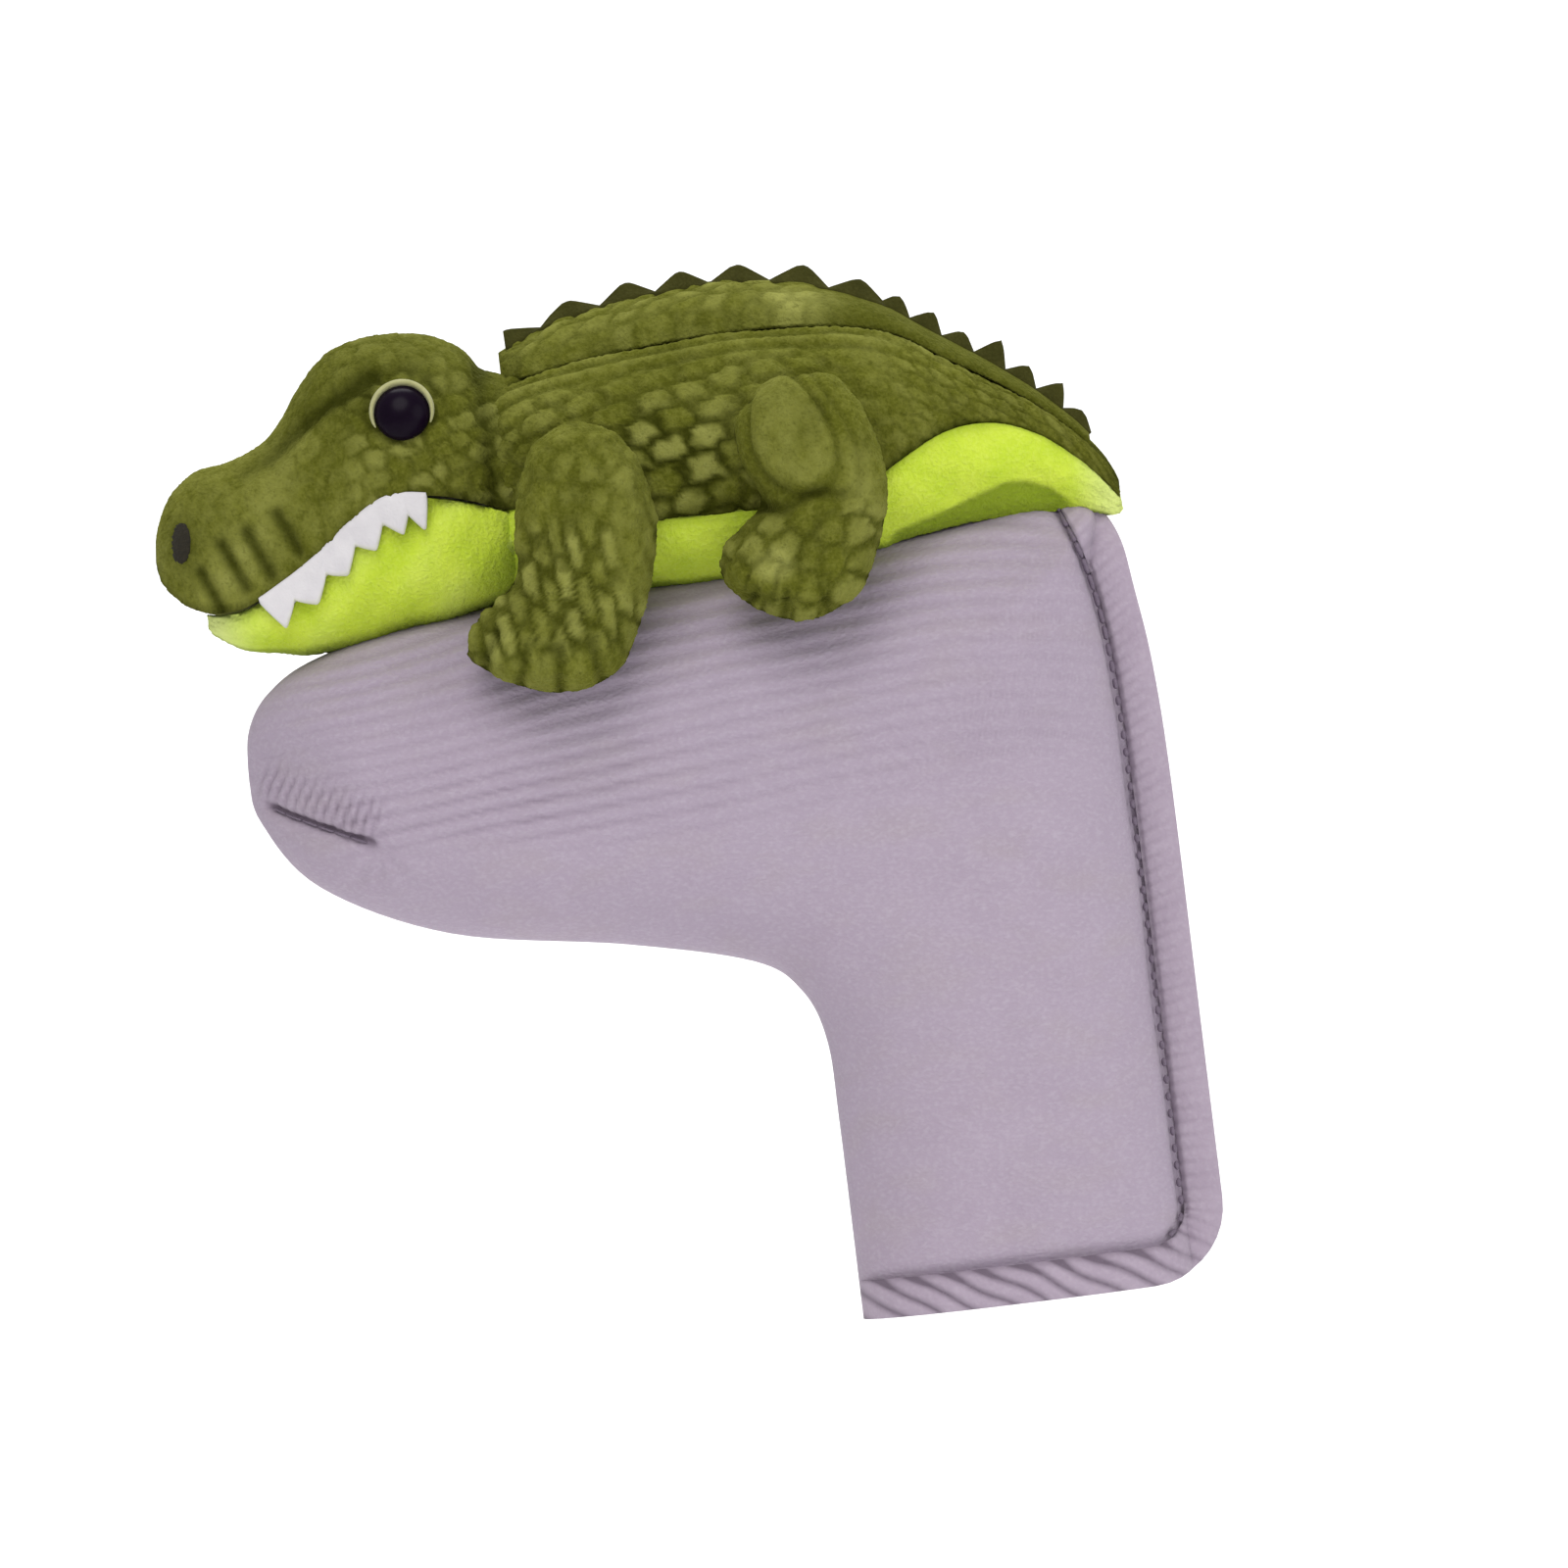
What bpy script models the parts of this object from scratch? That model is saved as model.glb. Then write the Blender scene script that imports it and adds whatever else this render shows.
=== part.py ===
"""Head cover for a blade putter, with a stuffed alligator sewn along its top.

+Z runs up the club's shaft, -X points to the putter's toe and -Y is the near side. The origin is
the middle of the mouth that the shaft comes out of. Sizes are in millimetres, and meshes are made
in metres. Each shell is a loft between unlike sections, so its faces are built row by row.
"""

import math

import bmesh
import bpy
from mathutils import Matrix, Vector

MM = 0.001

# Sleeve: an L-shaped pouch with a foot for the putter's head and a leg for its shaft.
SLEEVE_HEIGHT = 133.0
SLEEVE_LENGTH = 153.5
LEG_WIDTH = 62.0
FOOT_DEPTH = 60.2
FOOT_THICKNESS = 40.0
MOUTH_THICKNESS = 31.0
EDGE_ROUND = 24.0
SLIT_INSET = 12.7
FOLD_AT_MOUTH = 41.0
HEM_WIDTH = 6.5
HEM_THICKNESS = 2.0
HEM_PROUD = 0.5
MOUTH_CORNER = 13.0
FABRIC = 1.2
FOAM = 3.0
LINING = 0.8
GAP = 0.3
HALF_SEAM = 0.2
FOLD_GAP = 1.0
THREAD = 0.8
HOOK_WIDTH = 5.2
HOOK_LENGTH = 62.0
HOOK_THICKNESS = 0.95
DART_LENGTH = 21.5

# Alligator: a stuffed skin on the sleeve's top edge, drawn for a sleeve of PATTERN_LENGTH and
# graded to the sleeve's own length.
PATTERN_LENGTH = 153.5
SEAT_GAP = 0.7
TORSO_HALF_WIDTH = 22.0
HEAD_HALF_WIDTH = 19.2
JAW_TUCK = 2.4
PLUSH = 1.2
JOINT_GAP = 0.6
SEAM_GAP_ANGLE = 1.6
BELLY_SEAM_ANGLE = -28.0
RIDGE_HALF_WIDTH = 9.0
RIDGE_HEIGHT = 6.4
SPIKE_HEIGHT = 3.7
SPIKE_PITCH = 10.0
SPIKE_THICKNESS = 1.6
TAIL_SPIKE_HEIGHT = 4.4
TAIL_SPIKE_PITCH = 5.4
TAIL_PIVOT_RISE = 5.6
MOUTH_GAP = 0.6
TOOTH_LENGTH = 6.2
TOOTH_ROOT = 2.0
TOOTH_PITCH = 5.2
TEETH = 6
TEETH_BACK = 148.5
TOOTH_THICKNESS = 0.9
EYE_RADIUS = 5.0
EYE_BULGE = 3.6
EYE_RING_RADIUS = 6.3
EYE_RING_THICKNESS = 1.0
STEM_RADIUS = 1.5
STEM_LENGTH = 7.0
STEM_CLEARANCE = 0.35
WASHER_RADIUS = 4.6
WASHER_THICKNESS = 1.2
WASHER_SINK = 2.9
NOSTRIL_RADIUS = 2.0
NOSTRIL_THICKNESS = 0.6
LEG_THICKNESS = 11.0
LEG_CLEARANCE = 0.7

# Places that follow from the sizes above.
RIGHT = LEG_WIDTH / 2
LEFT = -RIGHT
TOE = RIGHT - SLEEVE_LENGTH
TOP = SLEEVE_HEIGHT
SOLE = TOP - 5.6 - FOOT_DEPTH
NOSE_Z = TOP - 30.0
SLIT_END = Vector((RIGHT - SLIT_INSET, TOP))
FOLD_FOOT = Vector((RIGHT - FOLD_AT_MOUTH, 0.0))
FOLD_TOP = SLIT_END - Vector((HEM_WIDTH + 1.0, 0.0))
FLANGE = HALF_SEAM + HOOK_THICKNESS + GAP + HEM_THICKNESS
JAW_HALF_WIDTH = HEAD_HALF_WIDTH - JAW_TUCK
LEG_PLANE = max(TORSO_HALF_WIDTH, FOOT_THICKNESS / 2) + LEG_CLEARANCE

NEAR, FAR = -1, 1
SIDES = (("near", NEAR), ("far", FAR))

COLOURS = {
    "lilac_knit": ((0.44, 0.36, 0.45), 0.9),
    "hem_knit": ((0.40, 0.32, 0.41), 0.9),
    "foam": ((0.75, 0.74, 0.7), 0.95),
    "lining": ((0.32, 0.28, 0.34), 0.95),
    "thread": ((0.12, 0.09, 0.13), 0.7),
    "hook_tape": ((0.1, 0.1, 0.11), 0.8),
    "olive_plush": ((0.11, 0.125, 0.02), 0.9),
    "lime_plush": ((0.53, 0.65, 0.06), 0.9),
    "spike_felt": ((0.04, 0.045, 0.01), 0.95),
    "tooth_felt": ((0.72, 0.72, 0.62), 0.95),
    "eye_plastic": ((0.008, 0.006, 0.01), 0.15),
    "eye_ring_felt": ((0.66, 0.64, 0.4), 0.9),
    "nostril_felt": ((0.015, 0.01, 0.004), 0.95),
    "fibrefill": ((0.8, 0.8, 0.78), 1.0),
    "washer_plastic": ((0.7, 0.7, 0.68), 0.4),
}


# --- Helpers ---------------------------------------------------------------------------------


def material(name):
    found = bpy.data.materials.get(name)
    if found:
        return found
    made = bpy.data.materials.new(name)
    made.use_nodes = True
    colour, roughness = COLOURS[name]
    shader = made.node_tree.nodes["Principled BSDF"]
    shader.inputs["Base Color"].default_value = (*colour, 1.0)
    shader.inputs["Roughness"].default_value = roughness
    shader.inputs["Metallic"].default_value = 0.0
    return made


def add_object(name, data, look, parent=None):
    made = bpy.data.objects.new(name, data)
    data.materials.append(material(look))
    cover_parts.objects.link(made)
    if parent:
        made.parent = parent
        made.matrix_parent_inverse = Matrix.Translation(-parent.location)
    return made


def hinge(name, place):
    """An empty on a joint's axis, which the pieces that turn about it are parented to."""
    made = bpy.data.objects.new(name, None)
    made.location = Vector(place) * MM
    cover_parts.objects.link(made)
    return made


def closed_object(name, points, faces, look, parent=None):
    """A mesh object from points in millimetres and faces, with its normals turned outwards."""
    mesh = bpy.data.meshes.new(name)
    mesh.from_pydata([Vector(p) * MM for p in points], [], faces)
    shape = bmesh.new()
    shape.from_mesh(mesh)
    bmesh.ops.remove_doubles(shape, verts=shape.verts, dist=1e-6)
    bmesh.ops.recalc_face_normals(shape, faces=shape.faces)
    shape.to_mesh(mesh)
    shape.free()
    mesh.shade_smooth()
    mesh.set_sharp_from_angle(angle=math.radians(50))
    return add_object(name, mesh, look, parent)


def curve_through(anchors, steps=8):
    """Points on a smooth curve through the anchors, Catmull-Rom, with steps to each span."""
    points = [Vector(a) for a in anchors]
    ends = [2 * points[0] - points[1], *points, 2 * points[-1] - points[-2]]
    made = []
    for i in range(1, len(ends) - 2):
        a, b, c, d = ends[i - 1 : i + 3]
        for k in range(steps):
            t = k / steps
            bend = 2 * b + (c - a) * t + (2 * a - 5 * b + 4 * c - d) * t**2
            made.append((bend + (3 * b - a - 3 * c + d) * t**3) / 2)
    return [*made, points[-1]]


def lengths_along(path):
    run = [0.0]
    for a, b in zip(path, path[1:]):
        run.append(run[-1] + (b - a).length)
    return run


def at_share(path, share):
    """The point at a share of a path's length."""
    run = lengths_along(path)
    want = min(max(share, 0.0), 1.0) * run[-1]
    for i in range(len(path) - 1):
        if run[i + 1] >= want:
            span = max(run[i + 1] - run[i], 1e-9)
            return path[i].lerp(path[i + 1], (want - run[i]) / span)
    return path[-1].copy()


def spread(path, count):
    return [at_share(path, i / (count - 1)) for i in range(count)]


def read_off(table, x):
    """The values in a smooth table of (x, value, ...) rows at x."""
    for a, b in zip(table, table[1:]):
        if x <= b[0]:
            t = min(max((x - a[0]) / (b[0] - a[0]), 0.0), 1.0)
            return tuple(a.lerp(b, t))[1:]
    return tuple(table[-1])[1:]


def edge_of(path, point, turn):
    """Distance inside a path, and its inward direction. turn is 1 if inside is on the right."""
    best = (1e9, 1e9, Vector((0.0, 0.0)))
    for a, b in zip(path, path[1:]):
        run = b - a
        t = min(max((point - a).dot(run) / max(run.length_squared, 1e-12), 0.0), 1.0)
        away = point - a - run * t
        inwards = Vector((run.y, -run.x)).normalized() * turn
        if away.length < best[0] - 1e-9:
            inside = away.length if away.dot(inwards) > -1e-6 else 0.0
            best = (away.length, inside, inwards)
    return best[1], best[2]


def ease(t):
    t = min(max(t, 0.0), 1.0)
    return t * t * (3 - 2 * t)


def quarter_round(t):
    """Height of a quarter circle at a share t of its width, from 0 at its edge to 1."""
    return math.sqrt(max(1 - (1 - min(max(t, 0.0), 1.0)) ** 2, 0.0))


def plate_between(name, top, bottom, look, parent=None):
    """A closed solid between two grids of the same size: two skins and the rim that joins them.

    Each cell is split along the same diagonal in both skins, so nested layers stay apart.
    """
    rows, columns = len(top), len(top[0])
    points = [p for row in top for p in row] + [p for row in bottom for p in row]
    under = rows * columns

    def at(i, j):
        return i * columns + j

    faces = []
    for i in range(rows - 1):
        for j in range(columns - 1):
            corners = [at(i, j), at(i, j + 1), at(i + 1, j + 1), at(i + 1, j)]
            for half in (corners[:3], [corners[0], *corners[2:]]):
                faces.append(half)
                faces.append([under + k for k in reversed(half)])
    rim = [at(0, j) for j in range(columns)]
    rim += [at(i, columns - 1) for i in range(1, rows)]
    rim += [at(rows - 1, j) for j in range(columns - 2, -1, -1)]
    rim += [at(i, 0) for i in range(rows - 2, 0, -1)]
    for a, b in zip(rim, rim[1:] + rim[:1]):
        faces.append([b, a, under + a, under + b])
    return closed_object(name, points, faces, look, parent)


def tube_object(name, points, radius, look, parent=None, sides=2):
    """A round thread or wire through points, as a curve with filled caps."""
    curve = bpy.data.curves.new(name, "CURVE")
    curve.dimensions = "3D"
    curve.bevel_depth = radius * MM
    curve.bevel_resolution = sides
    curve.use_fill_caps = True
    spline = curve.splines.new("POLY")
    spline.points.add(len(points) - 1)
    for node, point in zip(spline.points, points):
        node.co = (*(Vector(point) * MM), 1.0)
    return add_object(name, curve, look, parent)


def flat_object(name, outline, thickness, look, parent=None):
    """A flat piece in the XZ plane: a filled curve, extruded by half its thickness each way."""
    curve = bpy.data.curves.new(name, "CURVE")
    curve.dimensions = "2D"
    curve.fill_mode = "BOTH"
    curve.extrude = thickness / 2 * MM
    spline = curve.splines.new("POLY")
    spline.points.add(len(outline) - 1)
    for node, (x, z) in zip(spline.points, outline):
        node.co = (x * MM, z * MM, 0.0, 1.0)
    spline.use_cyclic_u = True
    made = add_object(name, curve, look, parent)
    made.rotation_euler = (math.pi / 2, 0.0, 0.0)
    return made


def cut(piece, cutter):
    modifier = piece.modifiers.new("hole for " + cutter.name, "BOOLEAN")
    modifier.operation = "DIFFERENCE"
    modifier.object = cutter


def cylinder(name, centre, axis, radius, length, look=None, parent=None, sides=16):
    """A cylinder about axis. With no look it is a cutter, kept out of the object."""
    mesh = bpy.data.meshes.new(name)
    shape = bmesh.new()
    turn = Vector(axis).to_track_quat("Z", "Y").to_matrix().to_4x4()
    bmesh.ops.create_cone(
        shape,
        cap_ends=True,
        segments=sides,
        radius1=radius * MM,
        radius2=radius * MM,
        depth=length * MM,
        matrix=Matrix.Translation(Vector(centre) * MM) @ turn,
    )
    shape.to_mesh(mesh)
    shape.free()
    if look:
        return add_object(name, mesh, look, parent)
    made = bpy.data.objects.new(name, mesh)
    made.hide_render = True
    made.display_type = "WIRE"
    cutters.objects.link(made)
    return made


for old in list(bpy.data.objects):
    bpy.data.objects.remove(old)
cover_parts = bpy.data.collections.new("putter_head_cover")
cutters = bpy.data.collections.new("cutters")
bpy.context.scene.collection.children.link(cover_parts)
bpy.context.scene.collection.children.link(cutters)


# --- Sleeve outline and thickness --------------------------------------------------------------

top_edge = curve_through(
    [
        (TOE, NOSE_Z),
        (TOE + 1.1, TOP - 22.5),
        (TOE + 5.2, TOP - 16.6),
        (TOE + 14.0, TOP - 11.8),
        (TOE + 34.0, TOP - 7.4),
        (TOE + 72.0, TOP - 5.6),
        (RIGHT - 43.0, TOP - 3.4),
        SLIT_END,
    ]
)
slit_edge = curve_through(
    [
        SLIT_END,
        (RIGHT - 6.8, TOP - 2.4),
        (RIGHT - 3.6, TOP - 8.0),
        (RIGHT - 2.2, TOP - 17.0),
        (RIGHT - 0.7, TOP - 30.0),
        (RIGHT, TOP - 50.0),
        (RIGHT, 40.0),
        (RIGHT, 0.0),
    ]
)
sole_edge = curve_through(
    [
        (TOE, NOSE_Z),
        (TOE + 1.8, NOSE_Z - 8.0),
        (TOE + 11.5, SOLE + 15.6),
        (TOE + 30.5, SOLE + 5.4),
        (TOE + 59.5, SOLE),
        (LEFT - 11.0, SOLE - 5.4),
        (LEFT - 3.6, SOLE - 11.2),
        (LEFT - 0.4, SOLE - 20.0),
        (LEFT, SOLE - 34.0),
        (LEFT, 0.0),
    ]
)
BELOW_MOUTH = Vector((0.0, -60.0))
sole_line = [*sole_edge, sole_edge[-1] + BELOW_MOUTH]
slit_line = [*slit_edge, slit_edge[-1] + BELOW_MOUTH]
crest = [*top_edge, *[p for p in slit_edge[1:] if p.y > TOP - 12.0]]


def sleeve_point(side, x, z, inset=0.0):
    """A point on the sleeve's puffed face, or inset below it, over the flat place (x, z)."""
    flat = Vector((x, z))
    top, top_in = edge_of(top_edge, flat, 1)
    sole, sole_in = edge_of(sole_line, flat, -1)
    slit, slit_in = edge_of(slit_line, flat, 1)
    hemmed = ease((SLIT_END.y - z) / (2 * HEM_WIDTH))
    slit = max(slit - HEM_WIDTH * hemmed, 0.0)
    flange = FLANGE * hemmed
    full = MOUTH_THICKNESS + (FOOT_THICKNESS - MOUTH_THICKNESS) * ease(z / SOLE)
    depth = flange + (full / 2 - inset - flange) * quarter_round(slit / EDGE_ROUND)
    depth *= quarter_round(top / EDGE_ROUND) * quarter_round(sole / EDGE_ROUND)
    for distance, inwards in ((top, top_in), (sole, sole_in), (slit, slit_in)):
        flat += inwards * inset * max(0.0, 1 - distance / EDGE_ROUND)
    return Vector((flat.x, side * max(depth, HALF_SEAM), flat.y))


def crest_z(x):
    """Height of the sleeve's top edge at x, carried round its right-hand corner."""
    for a, b in zip(crest, crest[1:]):
        if a.x <= x <= b.x and b.x > a.x:
            return a.y + (b.y - a.y) * (x - a.x) / (b.x - a.x)
    return crest[-1].y if x > crest[-1].x else NOSE_Z


def seat_z(x, y):
    """Height of the sleeve's rounded top at x and y, where the alligator sits."""
    share = abs(y) / (FOOT_THICKNESS / 2)
    if share >= 1:
        return -1e9
    drop = EDGE_ROUND * (1 - math.sqrt(1 - share**2))
    return crest_z(x) - drop + SEAT_GAP


# --- Sleeve shells -----------------------------------------------------------------------------

FOOT_ROWS, SHELL_COLUMNS, LIP_COLUMNS = 14, 9, 4
ROW_PITCH = 12.1
LEG_ROWS = math.ceil(TOP / ROW_PITCH)
TOE_ARC = 0.07
fold_direction = (FOLD_TOP - FOLD_FOOT).normalized()
fold_side = Vector((fold_direction.y, -fold_direction.x))


def fold_point(z, shift):
    """The fold line at height z, moved across it by shift, positive towards the slit."""
    share = z / FOLD_TOP.y
    return FOLD_FOOT.lerp(FOLD_TOP, share) + fold_side * shift


def edge_spaced(count):
    """Shares from 0 to 1 that lie closer together at both ends, where a shell curves most."""
    return [(1 - math.cos(math.pi * k / (count - 1))) / 2 for k in range(count)]


def shell_rows():
    """Ends of each row of the fixed shell, from the toe to the mouth, as (outer, inner, bow)."""
    crotch_share = 0.66
    foot_top = [*[p for p in top_edge if p.x < FOLD_TOP.x - 1.0], fold_point(TOP - 0.3, -FOLD_GAP / 2)]
    rows = []
    for i in range(FOOT_ROWS):
        t = i / (FOOT_ROWS - 1)
        outer = at_share(foot_top, TOE_ARC + (1.0 - TOE_ARC) * t)
        inner = at_share(sole_edge, 0.5 * TOE_ARC + (crotch_share - 0.5 * TOE_ARC) * t)
        rows.append((outer, inner, 6.5 * max(0.0, 1 - 3.0 * t)))
    mouth_z = HEM_WIDTH + GAP
    crotch_z = rows[-1][1].y
    for i in range(1, LEG_ROWS + 1):
        t = i / LEG_ROWS
        inner_share = crotch_share + (1 - crotch_share) * t
        inner = at_share(sole_edge, inner_share)
        inner.y = crotch_z + (mouth_z - crotch_z) * t
        inner.x = at_height(sole_edge, inner.y)
        outer_z = TOP + (mouth_z - TOP) * t**0.9
        rows.append((fold_point(outer_z, -FOLD_GAP / 2), inner, 0.0))
    return rows


def at_height(path, z):
    """x of the last place where a path falls past height z."""
    for a, b in zip(reversed(path[:-1]), reversed(path[1:])):
        if a.y >= z >= b.y and a.y > b.y:
            return b.x + (a.x - b.x) * (z - b.y) / (a.y - b.y)
    return path[-1].x


def rows_to_grid(side, rows, shares, inset=0.0):
    grid = []
    for outer, inner, bow in rows:
        line = []
        for v in shares:
            flat = outer.lerp(inner, v) + Vector((-bow * 4 * v * (1 - v), 0.0))
            line.append(sleeve_point(side, flat.x, flat.y, inset))
        grid.append(line)
    return grid


def layered(names, side, rows, shares, parent=None):
    """Fabric, foam and lining of one panel, each between two insets from its face."""
    starts = (0.0, FABRIC + GAP, FABRIC + GAP + FOAM + GAP)
    looks = (("lilac_knit", FABRIC), ("foam", FOAM), ("lining", LINING))
    for name, start, (look, thickness) in zip(names, starts, looks):
        top = rows_to_grid(side, rows, shares, start)
        bottom = rows_to_grid(side, rows, shares, start + thickness)
        plate_between(name, top, bottom, look, parent)


def inset_line(path, inset):
    """A path moved inwards, which is to its right, by inset."""
    made = []
    for i, point in enumerate(path):
        run = (path[min(i + 1, len(path) - 1)] - path[max(i - 1, 0)]).normalized()
        made.append(point + Vector((run.y, -run.x)) * inset)
    return made


def lip_rows():
    """Rows of a lip, between the slit's hem and the fold line, from the slit's end down."""
    rows = []
    first_z = TOP - HEM_WIDTH
    mouth_z = HEM_WIDTH + GAP
    hem_edge = inset_line(slit_edge, HEM_WIDTH + GAP)
    for i in range(LEG_ROWS + 1):
        t = i / LEG_ROWS
        z = first_z + (mouth_z - first_z) * t
        slit_x = at_height(hem_edge, z)
        if z < MOUTH_CORNER:
            turn = MOUTH_CORNER - HEM_WIDTH - GAP
            across = math.sqrt(max(turn**2 - (MOUTH_CORNER - z) ** 2, 0.0))
            slit_x = RIGHT - MOUTH_CORNER + across
        rows.append((Vector((slit_x, z)), fold_point(z, FOLD_GAP / 2), 0.0))
    return rows


def mouth_path(start_x):
    """The hem's outer edge: down the slit, round the mouth's corner and back to start_x."""
    turn = Vector((RIGHT - MOUTH_CORNER, MOUTH_CORNER))
    slit = [p for p in slit_edge if p.y > MOUTH_CORNER + 1 and p.y < SLIT_END.y - 2.6]
    arc = []
    for k in range(7):
        a = math.radians(-15 * k)
        arc.append(turn + Vector((math.cos(a), math.sin(a))) * MOUTH_CORNER)
    return [*slit, *arc, Vector((start_x, 0.0))]


def hem(name, side, path, count, parent=None):
    """A flat band along a sleeve edge, HEM_WIDTH wide, standing a little proud of the fabric."""
    line = spread(path, count)
    top, bottom = [], []
    for i, point in enumerate(line):
        run = (line[min(i + 1, count - 1)] - line[max(i - 1, 0)]).normalized()
        inwards = Vector((run.y, -run.x))
        top.append([])
        bottom.append([])
        for share in (0.0, 0.5, 1.0):
            flat = point + inwards * HEM_WIDTH * share
            outer = sleeve_point(side, flat.x, flat.y)
            outer.y += side * HEM_PROUD
            inner = outer.copy()
            inner.y = side * max(side * outer.y - HEM_THICKNESS - HEM_PROUD, HALF_SEAM)
            top[-1].append(outer)
            bottom[-1].append(inner)
    plate_between(name, top, bottom, "hem_knit", parent)


HEM_PITCH = 5.0
fold_axis_y = FOOT_THICKNESS / 2
lip_hinges = {}
for side_name, side in SIDES:
    place = (FOLD_FOOT.x, side * fold_axis_y, FOLD_FOOT.y)
    lip_hinges[side] = hinge(f"lip_{side_name}_axis", place)

for side_name, side in SIDES:
    names = [f"{n}_{side_name}" for n in ("outer_shell", "foam_pad", "lining")]
    layered(names, side, shell_rows(), edge_spaced(SHELL_COLUMNS))

    names = [f"lip_{n}_{side_name}" for n in ("shell", "foam", "lining")]
    lip_shares = [k / LIP_COLUMNS for k in range(LIP_COLUMNS + 1)]
    layered(names, side, lip_rows(), lip_shares, lip_hinges[side])

    lip_path = mouth_path(fold_point(0.0, FOLD_GAP / 2).x)
    hem_rows = math.ceil(lengths_along(lip_path)[-1] / HEM_PITCH)
    hem(f"lip_hem_{side_name}", side, lip_path, hem_rows, lip_hinges[side])
    fixed_path = [Vector((fold_point(0.0, -FOLD_GAP / 2).x, 0.0)), Vector((LEFT, 0.0))]
    hem(f"mouth_hem_{side_name}", side, fixed_path, 6)


def stitch_line(side, path, rise):
    """A thread along the hem's inner side, standing rise proud of the fabric."""
    line = []
    for i, point in enumerate(path):
        run = (path[min(i + 1, len(path) - 1)] - path[max(i - 1, 0)]).normalized()
        inwards = Vector((run.y, -run.x)) * HEM_WIDTH
        middle, edge = point + inwards / 2, point + inwards
        spot = sleeve_point(side, *middle).lerp(sleeve_point(side, *edge), 1 - 2 * THREAD / HEM_WIDTH)
        line.append(spot + Vector((0.0, side * rise, 0.0)))
    return line


thread_rise = HEM_PROUD + GAP + THREAD
for side_name, side in SIDES:
    path = spread(mouth_path(fold_point(0.0, FOLD_GAP / 2).x), hem_rows)
    line = stitch_line(side, path, thread_rise)
    tube_object(f"hem_thread_{side_name}", line, THREAD / 2, "thread", lip_hinges[side])

    dart_start = at_share(sole_edge, 0.03)
    dart_run = Vector((0.9, -0.44)).normalized()
    line = []
    for k in range(6):
        flat = dart_start + dart_run * (2.0 + (DART_LENGTH - 2.0) * k / 5)
        rise = Vector((0.0, side * (GAP + THREAD), 0.0))
        line.append(sleeve_point(side, flat.x, flat.y) + rise)
    tube_object(f"toe_dart_thread_{side_name}", line, THREAD / 2, "thread")

hook_x = RIGHT - HEM_WIDTH / 2
hook_z = MOUTH_CORNER + HEM_WIDTH + HOOK_LENGTH / 2
for name, side in (("hook_strip", NEAR), ("loop_strip", FAR)):
    bpy.ops.mesh.primitive_cube_add(size=1.0)
    strip = bpy.context.active_object
    strip.data.transform(Matrix.Diagonal((HOOK_WIDTH * MM, HOOK_THICKNESS * MM, HOOK_LENGTH * MM, 1)))
    strip.data.transform(
        Matrix.Translation(Vector((hook_x, side * (HALF_SEAM + HOOK_THICKNESS / 2), hook_z)) * MM)
    )
    data = strip.data
    bpy.data.objects.remove(strip)
    add_object(name, data, "hook_tape", lip_hinges[side])


# --- Alligator's body --------------------------------------------------------------------------


def graded(rows):
    """A smooth table from (mm back from the right edge, half width, heights above TOP) rows."""
    table = []
    for back, width, *heights in rows:
        x = RIGHT - back * SLEEVE_LENGTH / PATTERN_LENGTH
        table.append(Vector((x, width, *[TOP + h for h in heights])))
    return curve_through(table, 5)


body_table = graded(
    [
        (104.0, 0.80 * TORSO_HALF_WIDTH, 16.0, 31.4, -1.0),
        (91.0, 0.94 * TORSO_HALF_WIDTH, 15.0, 32.8, -4.0),
        (73.0, TORSO_HALF_WIDTH, 14.5, 33.8, -5.0),
        (55.0, TORSO_HALF_WIDTH, 15.0, 33.8, -5.0),
        (39.0, 0.84 * TORSO_HALF_WIDTH, 15.5, 31.8, -3.0),
        (29.0, 0.68 * TORSO_HALF_WIDTH, 14.5, 26.6, -1.0),
        (19.0, 0.50 * TORSO_HALF_WIDTH, 10.5, 19.0, 0.0),
        (11.0, 0.33 * TORSO_HALF_WIDTH, 6.8, 12.0, 0.0),
        (5.5, 0.19 * TORSO_HALF_WIDTH, 2.6, 5.6, -1.5),
        (3.0, 0.09 * TORSO_HALF_WIDTH, 0.0, 1.6, -2.2),
    ]
)
NECK_X = body_table[0].x
TAIL_X = RIGHT - 39.0 * SLEEVE_LENGTH / PATTERN_LENGTH
TAIL_TIP_X = body_table[-1].x


def body_point(x, degrees, inset=0.0):
    """A point on the body's skin, at an angle about its middle, 90 being the back."""
    width, middle, back, belly = read_off(body_table, x)
    a = math.radians(degrees)
    rise = back - middle if math.sin(a) > 0 else middle - belly
    y = (width - inset) * math.cos(a)
    z = middle + (rise - inset) * math.sin(a)
    return Vector((x, y, max(z, seat_z(x, y) + 1.2 * inset)))


def spaced(start, end, count):
    return [start + (end - start) * k / (count - 1) for k in range(count)]


def body_panel(name, look, places, angles, start, end, parent=None):
    top = [[body_point(x, a, start) for a in angles] for x in places]
    bottom = [[body_point(x, a, end) for a in angles] for x in places]
    return plate_between(name, top, bottom, look, parent)


def filled_loft(name, rings, look, parent=None):
    """A closed solid through rings of points, with a flat cap at each end."""
    count = len(rings[0])
    faces = [list(range(count)), [len(rings) * count - 1 - k for k in range(count)]]
    for i in range(len(rings) - 1):
        for j in range(count):
            a, b = i * count + j, i * count + (j + 1) % count
            faces.append([a, b, b + count])
            faces.append([a, b + count, a + count])
    return closed_object(name, [p for ring in rings for p in ring], faces, look, parent)


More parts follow.
